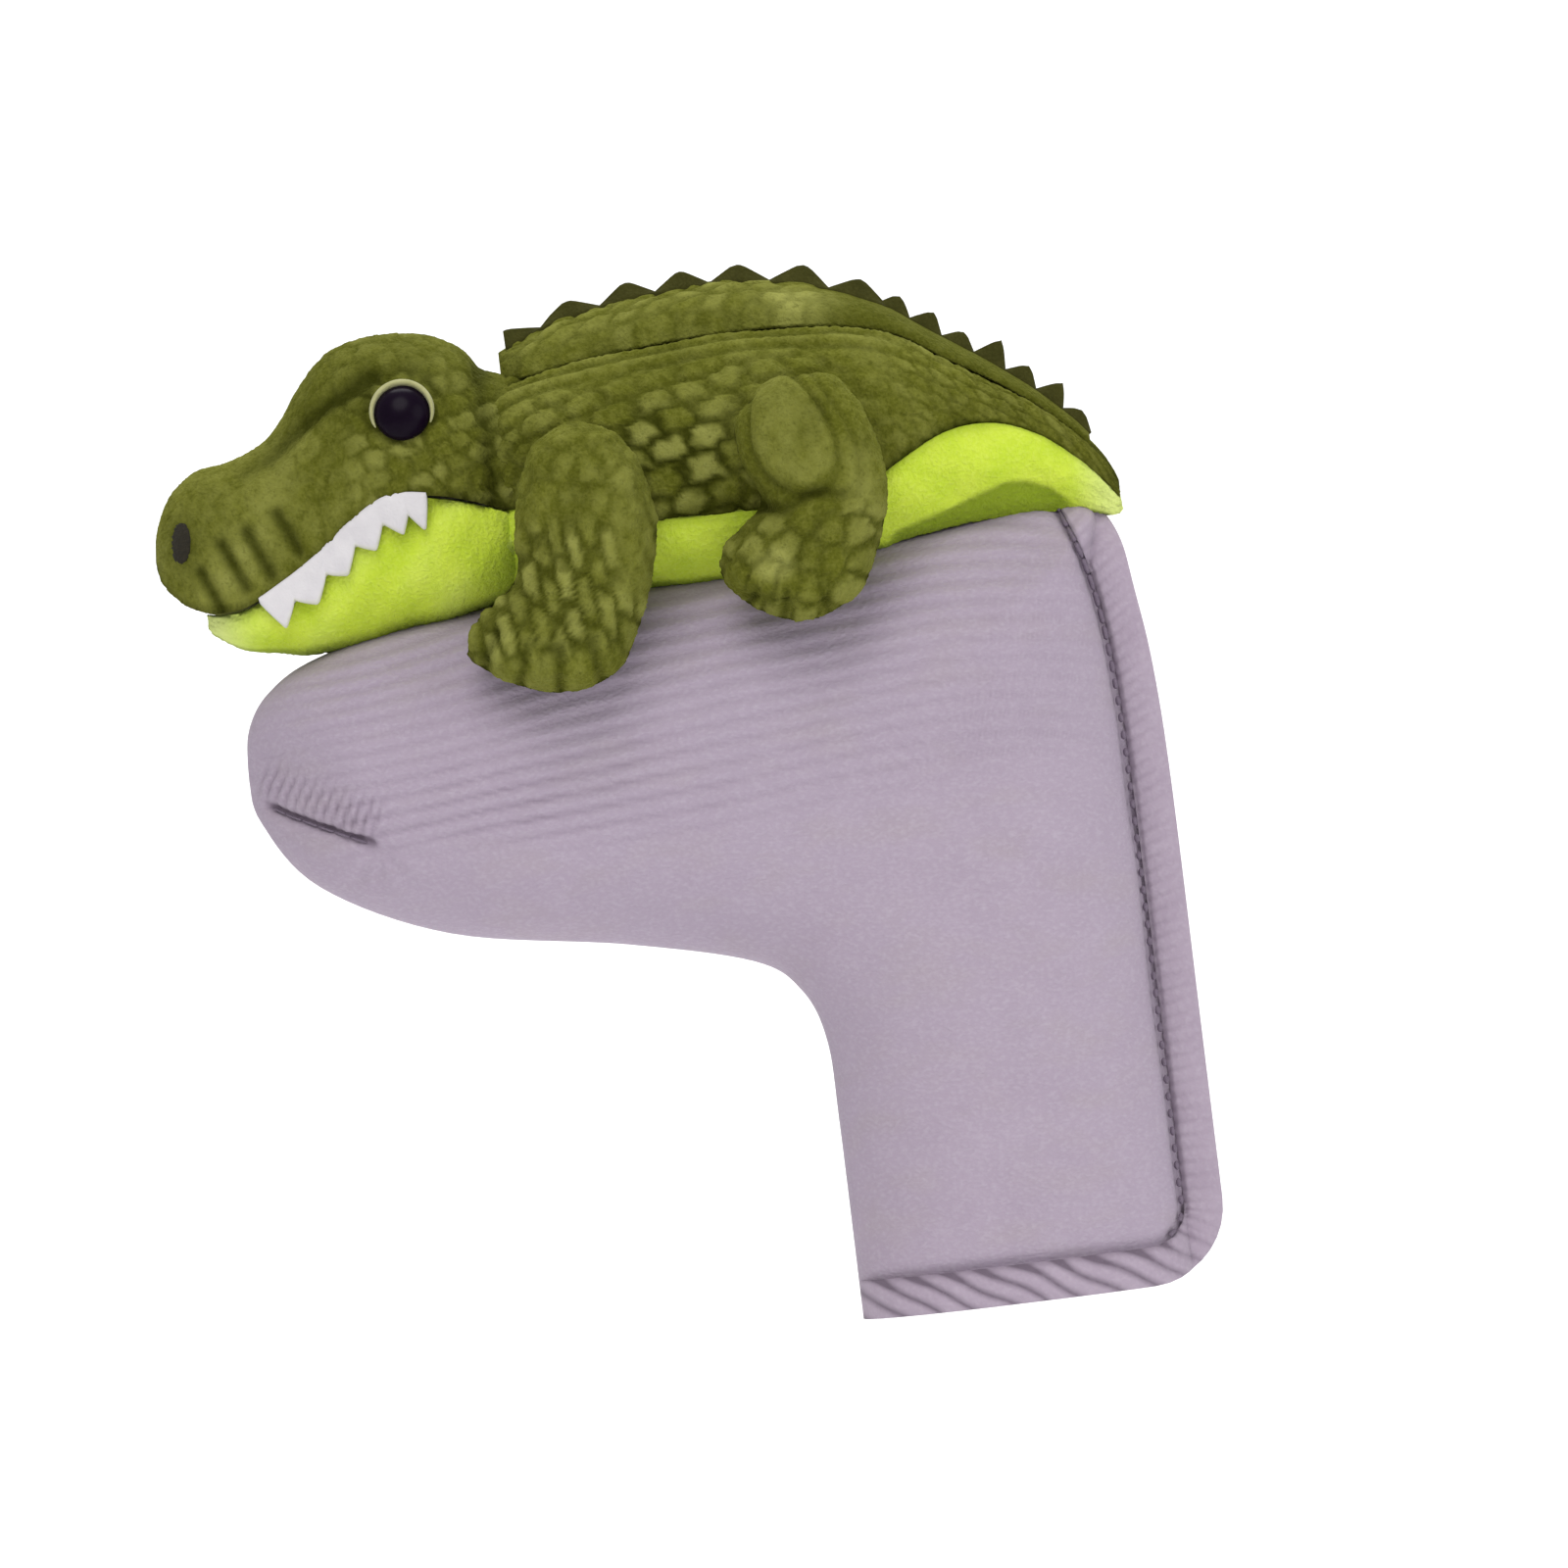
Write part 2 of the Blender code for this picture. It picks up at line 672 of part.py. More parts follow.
tail_crease = body_point(TAIL_X, 90.0).z + TAIL_PIVOT_RISE
tail_hinge = hinge("tail_axis", (TAIL_X, 0.0, tail_crease))
back_angles = spaced(BELLY_SEAM_ANGLE, 180.0 - BELLY_SEAM_ANGLE, 11)
belly_start = 180.0 - BELLY_SEAM_ANGLE + SEAM_GAP_ANGLE
belly_angles = spaced(belly_start, 360.0 + BELLY_SEAM_ANGLE - SEAM_GAP_ANGLE, 8)
torso_places = spaced(NECK_X, TAIL_X - JOINT_GAP / 2, 10)
tail_places = spaced(TAIL_X + JOINT_GAP / 2, TAIL_TIP_X, 9)

body_panel("torso_skin", "olive_plush", torso_places, back_angles, 0.0, PLUSH)
body_panel("belly_panel", "lime_plush", torso_places, belly_angles, 0.0, PLUSH)
body_panel("tail_skin", "olive_plush", tail_places, back_angles, 0.0, PLUSH, tail_hinge)
body_panel("tail_belly", "lime_plush", tail_places, belly_angles, 0.0, PLUSH, tail_hinge)

fill = PLUSH + GAP
round_angles = [*back_angles, *belly_angles]
torso_rings = [[body_point(x, a, fill) for a in round_angles] for x in torso_places]
filled_loft("torso_stuffing", torso_rings, "fibrefill")
tail_rings = [[body_point(x, a, fill) for a in round_angles] for x in tail_places[:-2]]
filled_loft("tail_stuffing", tail_rings, "fibrefill", tail_hinge)


# --- Ridge and spikes --------------------------------------------------------------------------

RIDGE_BASE = 0.5

# Rows are (back, height as a share of RIDGE_HEIGHT): a long leaf that thins out along the tail.
ridge_table = graded(
    [
        (104.0, 0.53),
        (93.0, 0.85),
        (80.0, 1.0),
        (62.0, 1.0),
        (51.0, 0.78),
        (42.0, 0.4),
        (34.0, 0.16),
        (20.0, 0.12),
        (3.0, 0.1),
    ]
)


def ridge_rise(x):
    return RIDGE_BASE + RIDGE_HEIGHT * read_off(ridge_table, x)[0]


def ridge_solid(name, places, look, parent=None):
    """A strip lying on the back: its underside follows the body and its top is domed."""
    rings = []
    for x in places:
        width, middle, back, _ = read_off(body_table, x)
        half = min(RIDGE_HALF_WIDTH, 0.55 * width)
        lower, upper = [], []
        for k in range(7):
            y = half * (1 - k / 3)
            base = middle + (back - middle) * math.sqrt(1 - (y / width) ** 2) + 1.5 * GAP
            lower.append(Vector((x, y, base)))
            dome = math.sqrt(max(1 - (y / half) ** 2, 0.0))
            rise = RIDGE_BASE + (ridge_rise(x) - RIDGE_BASE) * dome
            upper.append(Vector((x, y, base + rise)))
        rings.append(lower + list(reversed(upper)))
    filled_loft(name, rings, look, parent)


def spike_row(name, places, height, parent=None):
    """Felt points along the top of the ridge, cut from one flat strip."""
    base = []
    for x in places:
        base.append(Vector((x, body_point(x, 90.0).z + 1.5 * GAP + ridge_rise(x) + 2 * GAP)))
    outline = []
    for i, point in enumerate(base):
        run = (base[min(i + 1, len(base) - 1)] - base[max(i - 1, 0)]).normalized()
        tall = height if i % 2 else 0.8
        outline.append(point + Vector((-run.y, run.x)) * tall)
    outline += list(reversed(base))
    flat_object(name, [tuple(p) for p in outline], SPIKE_THICKNESS, "spike_felt", parent)


ridge_solid("ridge_strip", spaced(NECK_X + 2.0, TAIL_X - JOINT_GAP, 11), "olive_plush")
tail_ridge = spaced(TAIL_X + JOINT_GAP, TAIL_TIP_X - 4.0, 7)
ridge_solid("tail_ridge", tail_ridge, "olive_plush", tail_hinge)

count = 2 * round((TAIL_X - NECK_X) / SPIKE_PITCH) + 1
spike_row("back_spikes", spaced(NECK_X + 3.0, TAIL_X - JOINT_GAP, count), SPIKE_HEIGHT)
count = 2 * round((TAIL_TIP_X - TAIL_X) / TAIL_SPIKE_PITCH) + 1
tail_run = spaced(TAIL_X + JOINT_GAP, TAIL_TIP_X - 4.0, count)
spike_row("tail_spikes", tail_run, TAIL_SPIKE_HEIGHT, tail_hinge)


# --- Head --------------------------------------------------------------------------------------

SNOUT_FULLNESS = 0.86

# Rows of the head are (back, half width, height of the mouth line, height of the crown).
head_table = graded(
    [
        (164.3, 0.0, 7.1, 7.1),
        (163.2, 0.30 * HEAD_HALF_WIDTH, 2.8, 13.4),
        (160.5, 0.48 * HEAD_HALF_WIDTH, -0.4, 18.4),
        (156.0, 0.61 * HEAD_HALF_WIDTH, -2.4, 21.6),
        (150.0, 0.66 * HEAD_HALF_WIDTH, -1.8, 22.6),
        (143.0, 0.67 * HEAD_HALF_WIDTH, 2.2, 26.0),
        (137.0, 0.73 * HEAD_HALF_WIDTH, 6.4, 34.0),
        (131.5, 0.84 * HEAD_HALF_WIDTH, 10.8, 38.6),
        (124.0, 0.96 * HEAD_HALF_WIDTH, 14.2, 40.4),
        (116.0, HEAD_HALF_WIDTH, 13.0, 39.8),
        (110.0, 0.98 * HEAD_HALF_WIDTH, 10.6, 37.0),
        (104.6, 0.90 * HEAD_HALF_WIDTH, 8.6, 32.6),
    ]
)
# Rows of the lower jaw are (back, half width, height of its underside).
jaw_table = graded(
    [
        (155.6, 0.34 * JAW_HALF_WIDTH, -5.6),
        (152.5, 0.54 * JAW_HALF_WIDTH, -7.9),
        (145.0, 0.63 * JAW_HALF_WIDTH, -10.1),
        (138.0, 0.68 * JAW_HALF_WIDTH, -10.1),
        (127.0, 0.86 * JAW_HALF_WIDTH, -8.2),
        (115.0, JAW_HALF_WIDTH, -4.0),
        (104.6, 0.98 * JAW_HALF_WIDTH, -0.5),
    ]
)


def head_point(x, degrees, inset=0.0):
    width, mouth, crown = read_off(head_table, x)
    a = math.radians(degrees)
    turn = math.copysign(abs(math.cos(a)) ** SNOUT_FULLNESS, math.cos(a))
    rise = max(math.sin(a), 0.0) ** SNOUT_FULLNESS
    return Vector(
        (x, max(width - inset, 0.0) * turn, mouth + inset + max(crown - mouth - 2 * inset, 0.0) * rise)
    )


def head_normal(x, degrees):
    along = head_point(x + 0.5, degrees) - head_point(x - 0.5, degrees)
    across = head_point(x, degrees + 1) - head_point(x, degrees - 1)
    normal = along.cross(across).normalized()
    middle = sum(read_off(head_table, x)[1:]) / 2
    away = head_point(x, degrees) - Vector((x, 0.0, middle))
    return normal if normal.dot(away) > 0 else -normal


head_hinge = hinge("head_axis", (NECK_X, 0.0, body_point(NECK_X, 90.0).z + GAP))
SNOUT_X = head_table[0].x
HEAD_BACK_X = NECK_X - JOINT_GAP
head_angles = spaced(0.0, 180.0, 13)
head_places = [SNOUT_X + (HEAD_BACK_X - SNOUT_X) * t**1.35 for t in spaced(0.0, 1.0, 15)]


def inner_place(x, inset):
    """x moved in from the snout's tip by inset, and by less towards the open neck."""
    return x + inset * (HEAD_BACK_X - x) / (HEAD_BACK_X - SNOUT_X)


def head_rows(inset):
    rows = []
    for x in head_places:
        row = [head_point(x, a, inset) for a in head_angles]
        for point in row:
            point.x = inner_place(x, inset)
        rows.append(row)
    return rows


head_skin = plate_between("head_skin", head_rows(0.0), head_rows(PLUSH), "olive_plush", head_hinge)
palate_places = head_places[2:]
roof, floor = [], []
for x in palate_places:
    width, mouth, _ = read_off(head_table, x)
    line = spaced(-(width - PLUSH - GAP), width - PLUSH - GAP, 4)
    roof.append([Vector((inner_place(x, PLUSH), y, mouth + PLUSH)) for y in line])
    floor.append([Vector((inner_place(x, PLUSH), y, mouth)) for y in line])
plate_between("palate_panel", roof, floor, "olive_plush", head_hinge)

stuffing_rings = head_rows(PLUSH + 2 * GAP)[2:]
head_stuffing = filled_loft("head_stuffing", stuffing_rings, "fibrefill", head_hinge)

jaw_rings = []
for place in palate_places:
    x = inner_place(place, PLUSH)
    if x < jaw_table[0].x:
        continue
    width, under = read_off(jaw_table, x)
    roof_z = read_off(head_table, place)[1] - MOUTH_GAP
    ring = [Vector((x, y, roof_z)) for y in spaced(-width, width, 4)[1:3]]
    for degrees in spaced(0.0, -180.0, 11):
        a = math.radians(degrees)
        y = width * math.cos(a)
        z = roof_z + (roof_z - under) * math.sin(a)
        ring.append(Vector((x, y, max(z, seat_z(x, y)))))
    jaw_rings.append(ring)
filled_loft("lower_jaw", jaw_rings, "lime_plush", head_hinge)


# --- Teeth, eyes and nostrils ------------------------------------------------------------------

teeth_start = RIGHT - TEETH_BACK * SLEEVE_LENGTH / PATTERN_LENGTH
teeth_end = teeth_start + TEETH * TOOTH_PITCH * SLEEVE_LENGTH / PATTERN_LENGTH
for side_name, side in SIDES:
    outside, inside = [], []
    for k, x in enumerate(spaced(teeth_start, teeth_end, 2 * TEETH + 1)):
        width, mouth, _ = read_off(head_table, x)
        y = width - TOOTH_THICKNESS - GAP
        root = mouth - GAP
        tip = root - (TOOTH_LENGTH if k % 2 else TOOTH_ROOT)
        outside.append([Vector((x, side * (y + TOOTH_THICKNESS), z)) for z in (root, tip)])
        inside.append([Vector((x, side * y, z)) for z in (root, tip)])
    plate_between(f"teeth_{side_name}", outside, inside, "tooth_felt", head_hinge)


def lathe(name, profile, place, axis, look, parent, hollow=False, segments=18):
    """A turned piece: (radius, height) profile points swept about axis, standing at place."""
    turn = Vector(axis).to_track_quat("Z", "Y").to_matrix()
    points, faces = [], []
    for i in range(segments):
        a = 2 * math.pi * i / segments
        for radius, height in profile:
            flat = Vector((radius * math.cos(a), radius * math.sin(a), height))
            points.append(Vector(place) + turn @ flat)
    count = len(profile)
    for i in range(segments):
        for j in range(count if hollow else count - 1):
            a, b = i * count + j, i * count + (j + 1) % count
            c = (a + count) % len(points)
            d = (b + count) % len(points)
            faces.append([a, b, d, c])
    return closed_object(name, points, faces, look, parent)


EYE_BACK = 120.2
NOSTRIL_BACK = 160.2
eye_x = RIGHT - EYE_BACK * SLEEVE_LENGTH / PATTERN_LENGTH
nostril_x = RIGHT - NOSTRIL_BACK * SLEEVE_LENGTH / PATTERN_LENGTH
for side_name, side in SIDES:
    angle = 180.0 - 31.0 if side == NEAR else 31.0
    spot, out = head_point(eye_x, angle), head_normal(eye_x, angle)
    ring_base = GAP
    bore = STEM_RADIUS + STEM_CLEARANCE
    ring_profile = [
        (bore, ring_base),
        (EYE_RING_RADIUS, ring_base),
        (EYE_RING_RADIUS, ring_base + EYE_RING_THICKNESS),
        (bore, ring_base + EYE_RING_THICKNESS),
    ]
    lathe(f"eye_ring_{side_name}", ring_profile, spot, out, "eye_ring_felt", head_hinge, True)

    eye_base = ring_base + EYE_RING_THICKNESS + GAP
    eye_profile = [(0.0, eye_base - STEM_LENGTH), (STEM_RADIUS, eye_base - STEM_LENGTH)]
    eye_profile += [(STEM_RADIUS, eye_base), (EYE_RADIUS, eye_base), (EYE_RADIUS, eye_base + 0.5)]
    for k in range(1, 6):
        a = math.radians(18 * k)
        eye_profile.append((EYE_RADIUS * math.cos(a), eye_base + 0.5 + EYE_BULGE * math.sin(a)))
    lathe(f"eye_{side_name}", eye_profile, spot, out, "eye_plastic", head_hinge)

    washer_top = -WASHER_SINK
    washer_base = washer_top - WASHER_THICKNESS
    washer_profile = [(bore, washer_top), (WASHER_RADIUS, washer_top)]
    washer_profile += [(WASHER_RADIUS, washer_base), (bore, washer_base)]
    name = f"eye_washer_{side_name}"
    lathe(name, washer_profile, spot, out, "washer_plastic", head_hinge, True)

    through = spot + out * (eye_base - STEM_LENGTH / 2 - 1.0)
    stem_hole = cylinder(f"stem_hole_{side_name}", through, out, bore, STEM_LENGTH + 4.0)
    cut(head_skin, stem_hole)
    pocket_depth = STEM_LENGTH - eye_base + GAP
    pocket_centre = spot + out * (2.0 - pocket_depth) / 2
    pocket_length = pocket_depth + 2.0
    pocket_radius = WASHER_RADIUS + 0.5
    name = f"washer_pocket_{side_name}"
    cut(head_stuffing, cylinder(name, pocket_centre, out, pocket_radius, pocket_length))

    angle = 180.0 - 27.0 if side == NEAR else 27.0
    spot, out = head_point(nostril_x, angle), head_normal(nostril_x, angle)
    disc = [(0.0, GAP), (NOSTRIL_RADIUS, GAP)]
    disc += [(NOSTRIL_RADIUS, GAP + NOSTRIL_THICKNESS), (0.0, GAP + NOSTRIL_THICKNESS)]
    lathe(f"nostril_{side_name}", disc, spot, out, "nostril_felt", head_hinge, segments=12)


# --- Legs --------------------------------------------------------------------------------------

# Outlines are (back, height above TOP), from the shoulder or hip seam down round the paw.
front_leg = [
    (92.3, 21.0),
    (100.0, 17.6),
    (103.0, 9.0),
    (104.5, -3.4),
    (111.9, -9.2),
    (113.5, -15.6),
    (108.2, -19.6),
    (99.4, -22.7),
    (88.3, -20.4),
    (83.6, -9.3),
    (80.1, 3.5),
    (82.3, 15.4),
]
rear_leg = [
    (52.4, 24.4),
    (61.2, 22.5),
    (65.3, 18.3),
    (64.4, 11.6),
    (60.3, 4.4),
    (67.7, -1.3),
    (68.3, -6.2),
    (63.9, -10.9),
    (56.0, -14.4),
    (45.6, -10.7),
    (42.1, -2.8),
    (40.9, 7.0),
    (43.8, 17.4),
]
LEG_RINGS = (1.0, 0.93, 0.78, 0.55, 0.28)


def pad(name, outline, side, look, parent):
    """A stuffed leg: a flat back in the plane beside the body and a puffed front."""
    middle = sum(outline, Vector((0.0, 0.0))) / len(outline)
    points = [Vector((p.x, side * LEG_PLANE, p.y)) for p in outline]
    count = len(outline)
    faces = [list(range(count))]
    for share in LEG_RINGS:
        depth = LEG_PLANE + LEG_THICKNESS * (0.25 + 0.75 * quarter_round((1 - share) * 1.4))
        for p in outline:
            flat = middle.lerp(p, share)
            points.append(Vector((flat.x, side * depth, flat.y)))
    for i in range(len(LEG_RINGS)):
        for j in range(count):
            a, b = i * count + j, i * count + (j + 1) % count
            faces.append([a, b, b + count, a + count])
    faces.append([len(LEG_RINGS) * count + k for k in range(count)])
    closed_object(name, points, faces, look, parent)


for leg_name, pattern in (("front", front_leg), ("rear", rear_leg)):
    anchors = []
    for back, height in pattern:
        anchors.append((RIGHT - back * SLEEVE_LENGTH / PATTERN_LENGTH, TOP + height))
    outline = spread(curve_through([*anchors, anchors[0]], 4), 27)[:-1]
    seam_z = max(p.y for p in outline) - 1.0
    seam_x = sum(p.x for p in outline) / len(outline)
    for side_name, side in SIDES:
        name = f"{leg_name}_leg_{side_name}"
        pivot = hinge(f"{name}_axis", (seam_x, side * LEG_PLANE, seam_z))
        pad(name, outline, side, "olive_plush", pivot)
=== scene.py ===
"""Head cover for a blade putter: a padded knit sleeve with a stuffed alligator along its top.

Lengths are in millimetres until a mesh is made. +Z runs up the club's shaft, -X points to the
putter's toe, -Y is the near side, and the origin is the middle of the mouth.
"""

import math

import bpy
import numpy as np
from mathutils import Matrix, Vector


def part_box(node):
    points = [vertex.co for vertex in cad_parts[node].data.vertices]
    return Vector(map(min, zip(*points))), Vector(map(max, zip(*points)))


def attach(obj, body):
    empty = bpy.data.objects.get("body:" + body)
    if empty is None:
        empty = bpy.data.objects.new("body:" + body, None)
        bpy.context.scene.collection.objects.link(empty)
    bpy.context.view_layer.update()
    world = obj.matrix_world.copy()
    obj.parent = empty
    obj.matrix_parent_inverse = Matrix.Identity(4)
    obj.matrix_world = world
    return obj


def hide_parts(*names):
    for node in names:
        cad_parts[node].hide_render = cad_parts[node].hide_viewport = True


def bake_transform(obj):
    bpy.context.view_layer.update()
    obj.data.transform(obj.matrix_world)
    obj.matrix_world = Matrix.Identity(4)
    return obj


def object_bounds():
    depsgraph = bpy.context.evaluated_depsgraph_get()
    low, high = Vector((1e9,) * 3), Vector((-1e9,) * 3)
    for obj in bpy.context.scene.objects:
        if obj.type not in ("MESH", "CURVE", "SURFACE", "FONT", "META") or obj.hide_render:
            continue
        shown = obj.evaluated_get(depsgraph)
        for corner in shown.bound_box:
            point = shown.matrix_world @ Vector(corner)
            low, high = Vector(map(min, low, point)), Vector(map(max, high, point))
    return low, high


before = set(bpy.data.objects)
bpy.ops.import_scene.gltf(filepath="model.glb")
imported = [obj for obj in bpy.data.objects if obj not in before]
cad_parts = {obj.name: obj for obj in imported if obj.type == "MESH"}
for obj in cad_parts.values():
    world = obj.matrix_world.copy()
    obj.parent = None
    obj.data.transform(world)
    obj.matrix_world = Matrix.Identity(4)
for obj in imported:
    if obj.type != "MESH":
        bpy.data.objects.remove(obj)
cad_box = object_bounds()

MM = 0.001

# --- Studio ------------------------------------------------------------------------------------
# Pale paper that lies well below the cover and sweeps up behind it, four large soft lamps and a
# pale room. The camera looks square on to the near side and leans, so that the cover's leg hangs
# to the right.

LEAN = math.radians(7.0)
VIEW_DISTANCE = 2.0
VIEW_PLANE = 0.0
VIEW_WIDTH = 0.263
VIEW_SHIFT, VIEW_LIFT = 0.0178, 0.0013
SENSOR = 36.0

box_low, box_high = cad_box
middle_x = (box_low.x + box_high.x) / 2
middle_z = (box_low.z + box_high.z) / 2
view_centre = Vector((middle_x + VIEW_SHIFT, VIEW_PLANE, middle_z + VIEW_LIFT))
lens = bpy.data.cameras.new("camera")
lens.sensor_width = SENSOR
lens.lens = SENSOR * VIEW_DISTANCE / VIEW_WIDTH
lens.clip_start, lens.clip_end = 0.05, 20.0
camera = bpy.data.objects.new("camera", lens)
right = Vector((math.cos(LEAN), 0.0, -math.sin(LEAN)))
up = Vector((math.sin(LEAN), 0.0, math.cos(LEAN)))
turn = Matrix((right, up, Vector((0.0, -1.0, 0.0)))).transposed()
camera.matrix_world = Matrix.Translation(view_centre + Vector((0.0, -VIEW_DISTANCE, 0.0))) @ turn.to_4x4()
bpy.context.scene.collection.objects.link(camera)
bpy.context.scene.camera = camera
bpy.context.scene.view_settings.view_transform = "Standard"
bpy.context.scene.view_settings.look = "None"


def area_lamp(name, place, aim, size, watts, colour=(1.0, 1.0, 1.0)):
    lamp = bpy.data.lights.new(name, "AREA")
    lamp.shape = "DISK"
    lamp.size = size
    lamp.energy = watts
    lamp.color = colour
    made = bpy.data.objects.new(name, lamp)
    made.location = place
    made.rotation_euler = (Vector(aim) - Vector(place)).to_track_quat("-Z", "Y").to_euler()
    bpy.context.scene.collection.objects.link(made)


area_lamp("key_lamp", (-0.25, -1.4, 1.5), (-0.04, 0.0, 0.1), 1.4, 20.0, (1.0, 0.99, 0.97))
area_lamp("fill_lamp", (1.5, -1.3, 0.5), (-0.04, 0.0, 0.09), 1.6, 8.5, (0.97, 0.98, 1.0))
area_lamp("back_lamp", (0.6, 1.4, 1.5), (-0.04, 0.0, 0.15), 1.2, 9.0)
area_lamp("backdrop_lamp", (0.0, 0.7, 2.2), (0.0, 2.0, 0.3), 1.6, 32.0)


class Value:
    """A number on a surface. Sums written with it add their Math nodes to its finish."""

    def __init__(self, finish, socket):
        self.finish, self.socket = finish, socket

    def sum(self, operation, a, b, **settings):
        settings["operation"] = operation
        node = self.finish.add("ShaderNodeMath", settings, {0: a, 1: b})
        return Value(self.finish, node.outputs[0])

    def __add__(self, other):
        return self.sum("ADD", self, other)

    def __sub__(self, other):
        return self.sum("SUBTRACT", self, other)

    def __rsub__(self, other):
        return self.sum("SUBTRACT", other, self)

    def __mul__(self, other):
        return self.sum("MULTIPLY", self, other)

    __radd__, __rmul__ = __add__, __mul__

    def clipped(self):
        return self.sum("MULTIPLY", self, 1.0, use_clamp=True)


class Finish:
    """A material under a maker's name, built up from nodes."""

    def __init__(self, name, **constants):
        self.look = bpy.data.materials.new(name)
        self.look.use_nodes = True
        self.tree = self.look.node_tree
        self.shader = self.tree.nodes["Principled BSDF"]
        for socket, value in constants.items():
            self.shader.inputs[socket.replace("_", " ")].default_value = value

    def add(self, kind, settings=None, links=None):
        node = self.tree.nodes.new(kind)
        for key, value in (settings or {}).items():
            setattr(node, key, value)
        for key, value in (links or {}).items():
            self.link(node.inputs[key], value)
        return node

    def link(self, socket, value):
        if isinstance(value, Value):
            value = value.socket
        if isinstance(value, bpy.types.NodeSocket):
            self.tree.links.new(value, socket)
        else:
            socket.default_value = value

    def mark(self, name):
        return Value(self, self.add("ShaderNodeAttribute", {"attribute_name": name}).outputs["Fac"])

    def noise(self, size, detail=2.0, stretch=(1.0, 1.0, 1.0)):
        """Soft noise from 0 to 1 whose blotches are about size millimetres across."""
        place = self.add("ShaderNodeTexCoord").outputs["Object"]
        scaled = self.add("ShaderNodeMapping", None, {"Vector": place, "Scale": stretch})
        links = {"Vector": scaled.outputs[0], "Scale": 1000.0 / size, "Detail": detail}
        return Value(self, self.add("ShaderNodeTexNoise", None, links).outputs["Fac"])

    def mix(self, share, first, second):
        """A colour between two, which are colours or the output of another mix."""
        node = self.add("ShaderNodeMix", {"data_type": "RGBA"})
        self.link(node.inputs[0], share)
        for socket, colour in ((node.inputs[6], first), (node.inputs[7], second)):
            self.link(socket, (*colour, 1.0) if isinstance(colour, tuple) else colour)
        return node.outputs[2]

    def paint(self, colour, height=None, relief=0.0, strength=1.0):
        self.link(self.shader.inputs["Base Color"], colour)
        if height is not None:
            links = {"Height": height, "Distance": relief * MM, "Strength": strength}
            bump = self.add("ShaderNodeBump", None, links)
            self.link(self.shader.inputs["Normal"], bump.outputs[0])
        return self.look


paper = Finish("studio_paper", Roughness=0.9)
paper_tone = paper.mix(paper.noise(40.0), (0.92, 0.92, 0.925), (0.945, 0.945, 0.945))
paper.paint(paper_tone)

room = bpy.data.worlds.new("pale_room")
room.use_nodes = True
room.node_tree.nodes["Background"].inputs["Color"].default_value = (1.0, 1.0, 1.0, 1.0)
room.node_tree.nodes["Background"].inputs["Strength"].default_value = 0.56
bpy.context.scene.world = room

FLOOR_DROP = 0.25
PAPER_REACH = 4.0
SWEEP_START, SWEEP_RADIUS = 1.2, 0.9
SWEEP_STEPS = 12

floor_height = box_low.z - FLOOR_DROP
sweep_profile = [(-PAPER_REACH, 0.0), (SWEEP_START, 0.0)]
for k in range(1, SWEEP_STEPS + 1):
    a = math.radians(90.0 / SWEEP_STEPS * k)
    y = SWEEP_START + SWEEP_RADIUS * math.sin(a)
    sweep_profile.append((y, SWEEP_RADIUS * (1 - math.cos(a))))
sweep_profile.append((SWEEP_START + SWEEP_RADIUS, PAPER_REACH))
sweep_points, sweep_faces = [], []
for k, (y, z) in enumerate(sweep_profile):
    sweep_points += [(side * PAPER_REACH, y, floor_height + z) for side in (-1, 1)]
    if k:
        sweep_faces.append((2 * k - 2, 2 * k - 1, 2 * k + 1, 2 * k))
sweep_mesh = bpy.data.meshes.new("studio_sweep")
sweep_mesh.from_pydata(sweep_points, [], sweep_faces)
sweep_mesh.materials.append(paper.look)
sweep_mesh.shade_smooth()
sweep = bpy.data.objects.new("studio_sweep", sweep_mesh)
bpy.context.scene.collection.objects.link(sweep)

# --- Sleeve panels -----------------------------------------------------------------------------
# Two mirror-image panels of lilac rib knit over foam, sewn together along the top and the sole
# and left open down the slit. The ribs run along the foot, the leg is a plain fine knit, and a
# short dart closes the toe.

SLEEVE_LENGTH = 153.5
TOP = 133.0
HEM_WIDTH = 6.5
EDGE_ROUND = 24.0
MOUTH_CORNER = 13.0
FLANGE = 3.45
MOUTH_THICKNESS, FOOT_THICKNESS = 31.0, 40.0
PADDING = 3.9

RIGHT = round(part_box("lip_hem_near")[1].x / MM, 1)
LEFT = round(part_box("mouth_hem_near")[0].x / MM, 1)
TOE = RIGHT - SLEEVE_LENGTH
NEAR, FAR = -1, 1
SIDES = (("near", NEAR), ("far", FAR))


def curve(anchors, steps=8):
    """Places on a smooth line through the anchors."""
    points = np.array(anchors, float)
    ends = np.vstack([2 * points[0] - points[1], points, 2 * points[-1] - points[-2]])
    t = np.arange(steps)[:, None] / steps
    spans = []
    for a, b, c, d in zip(ends, ends[1:], ends[2:], ends[3:]):
        bend = 2 * b + (c - a) * t + (2 * a - 5 * b + 4 * c - d) * t**2
        spans.append((bend + (3 * b - a - 3 * c + d) * t**3) / 2)
    return np.vstack([*spans, points[-1:]])


def lengths_along(path):
    """The length run from a line's start to each of its points."""
    return np.concatenate([[0.0], np.cumsum(np.linalg.norm(np.diff(path, axis=0), axis=1))])


def along(path, shares):
    """The places at shares, from 0 to 1, of a line's length."""
    run = lengths_along(path)
    want = np.asarray(shares) * run[-1]
    return np.stack([np.interp(want, run, path[:, k]) for k in range(path.shape[1])], axis=-1)


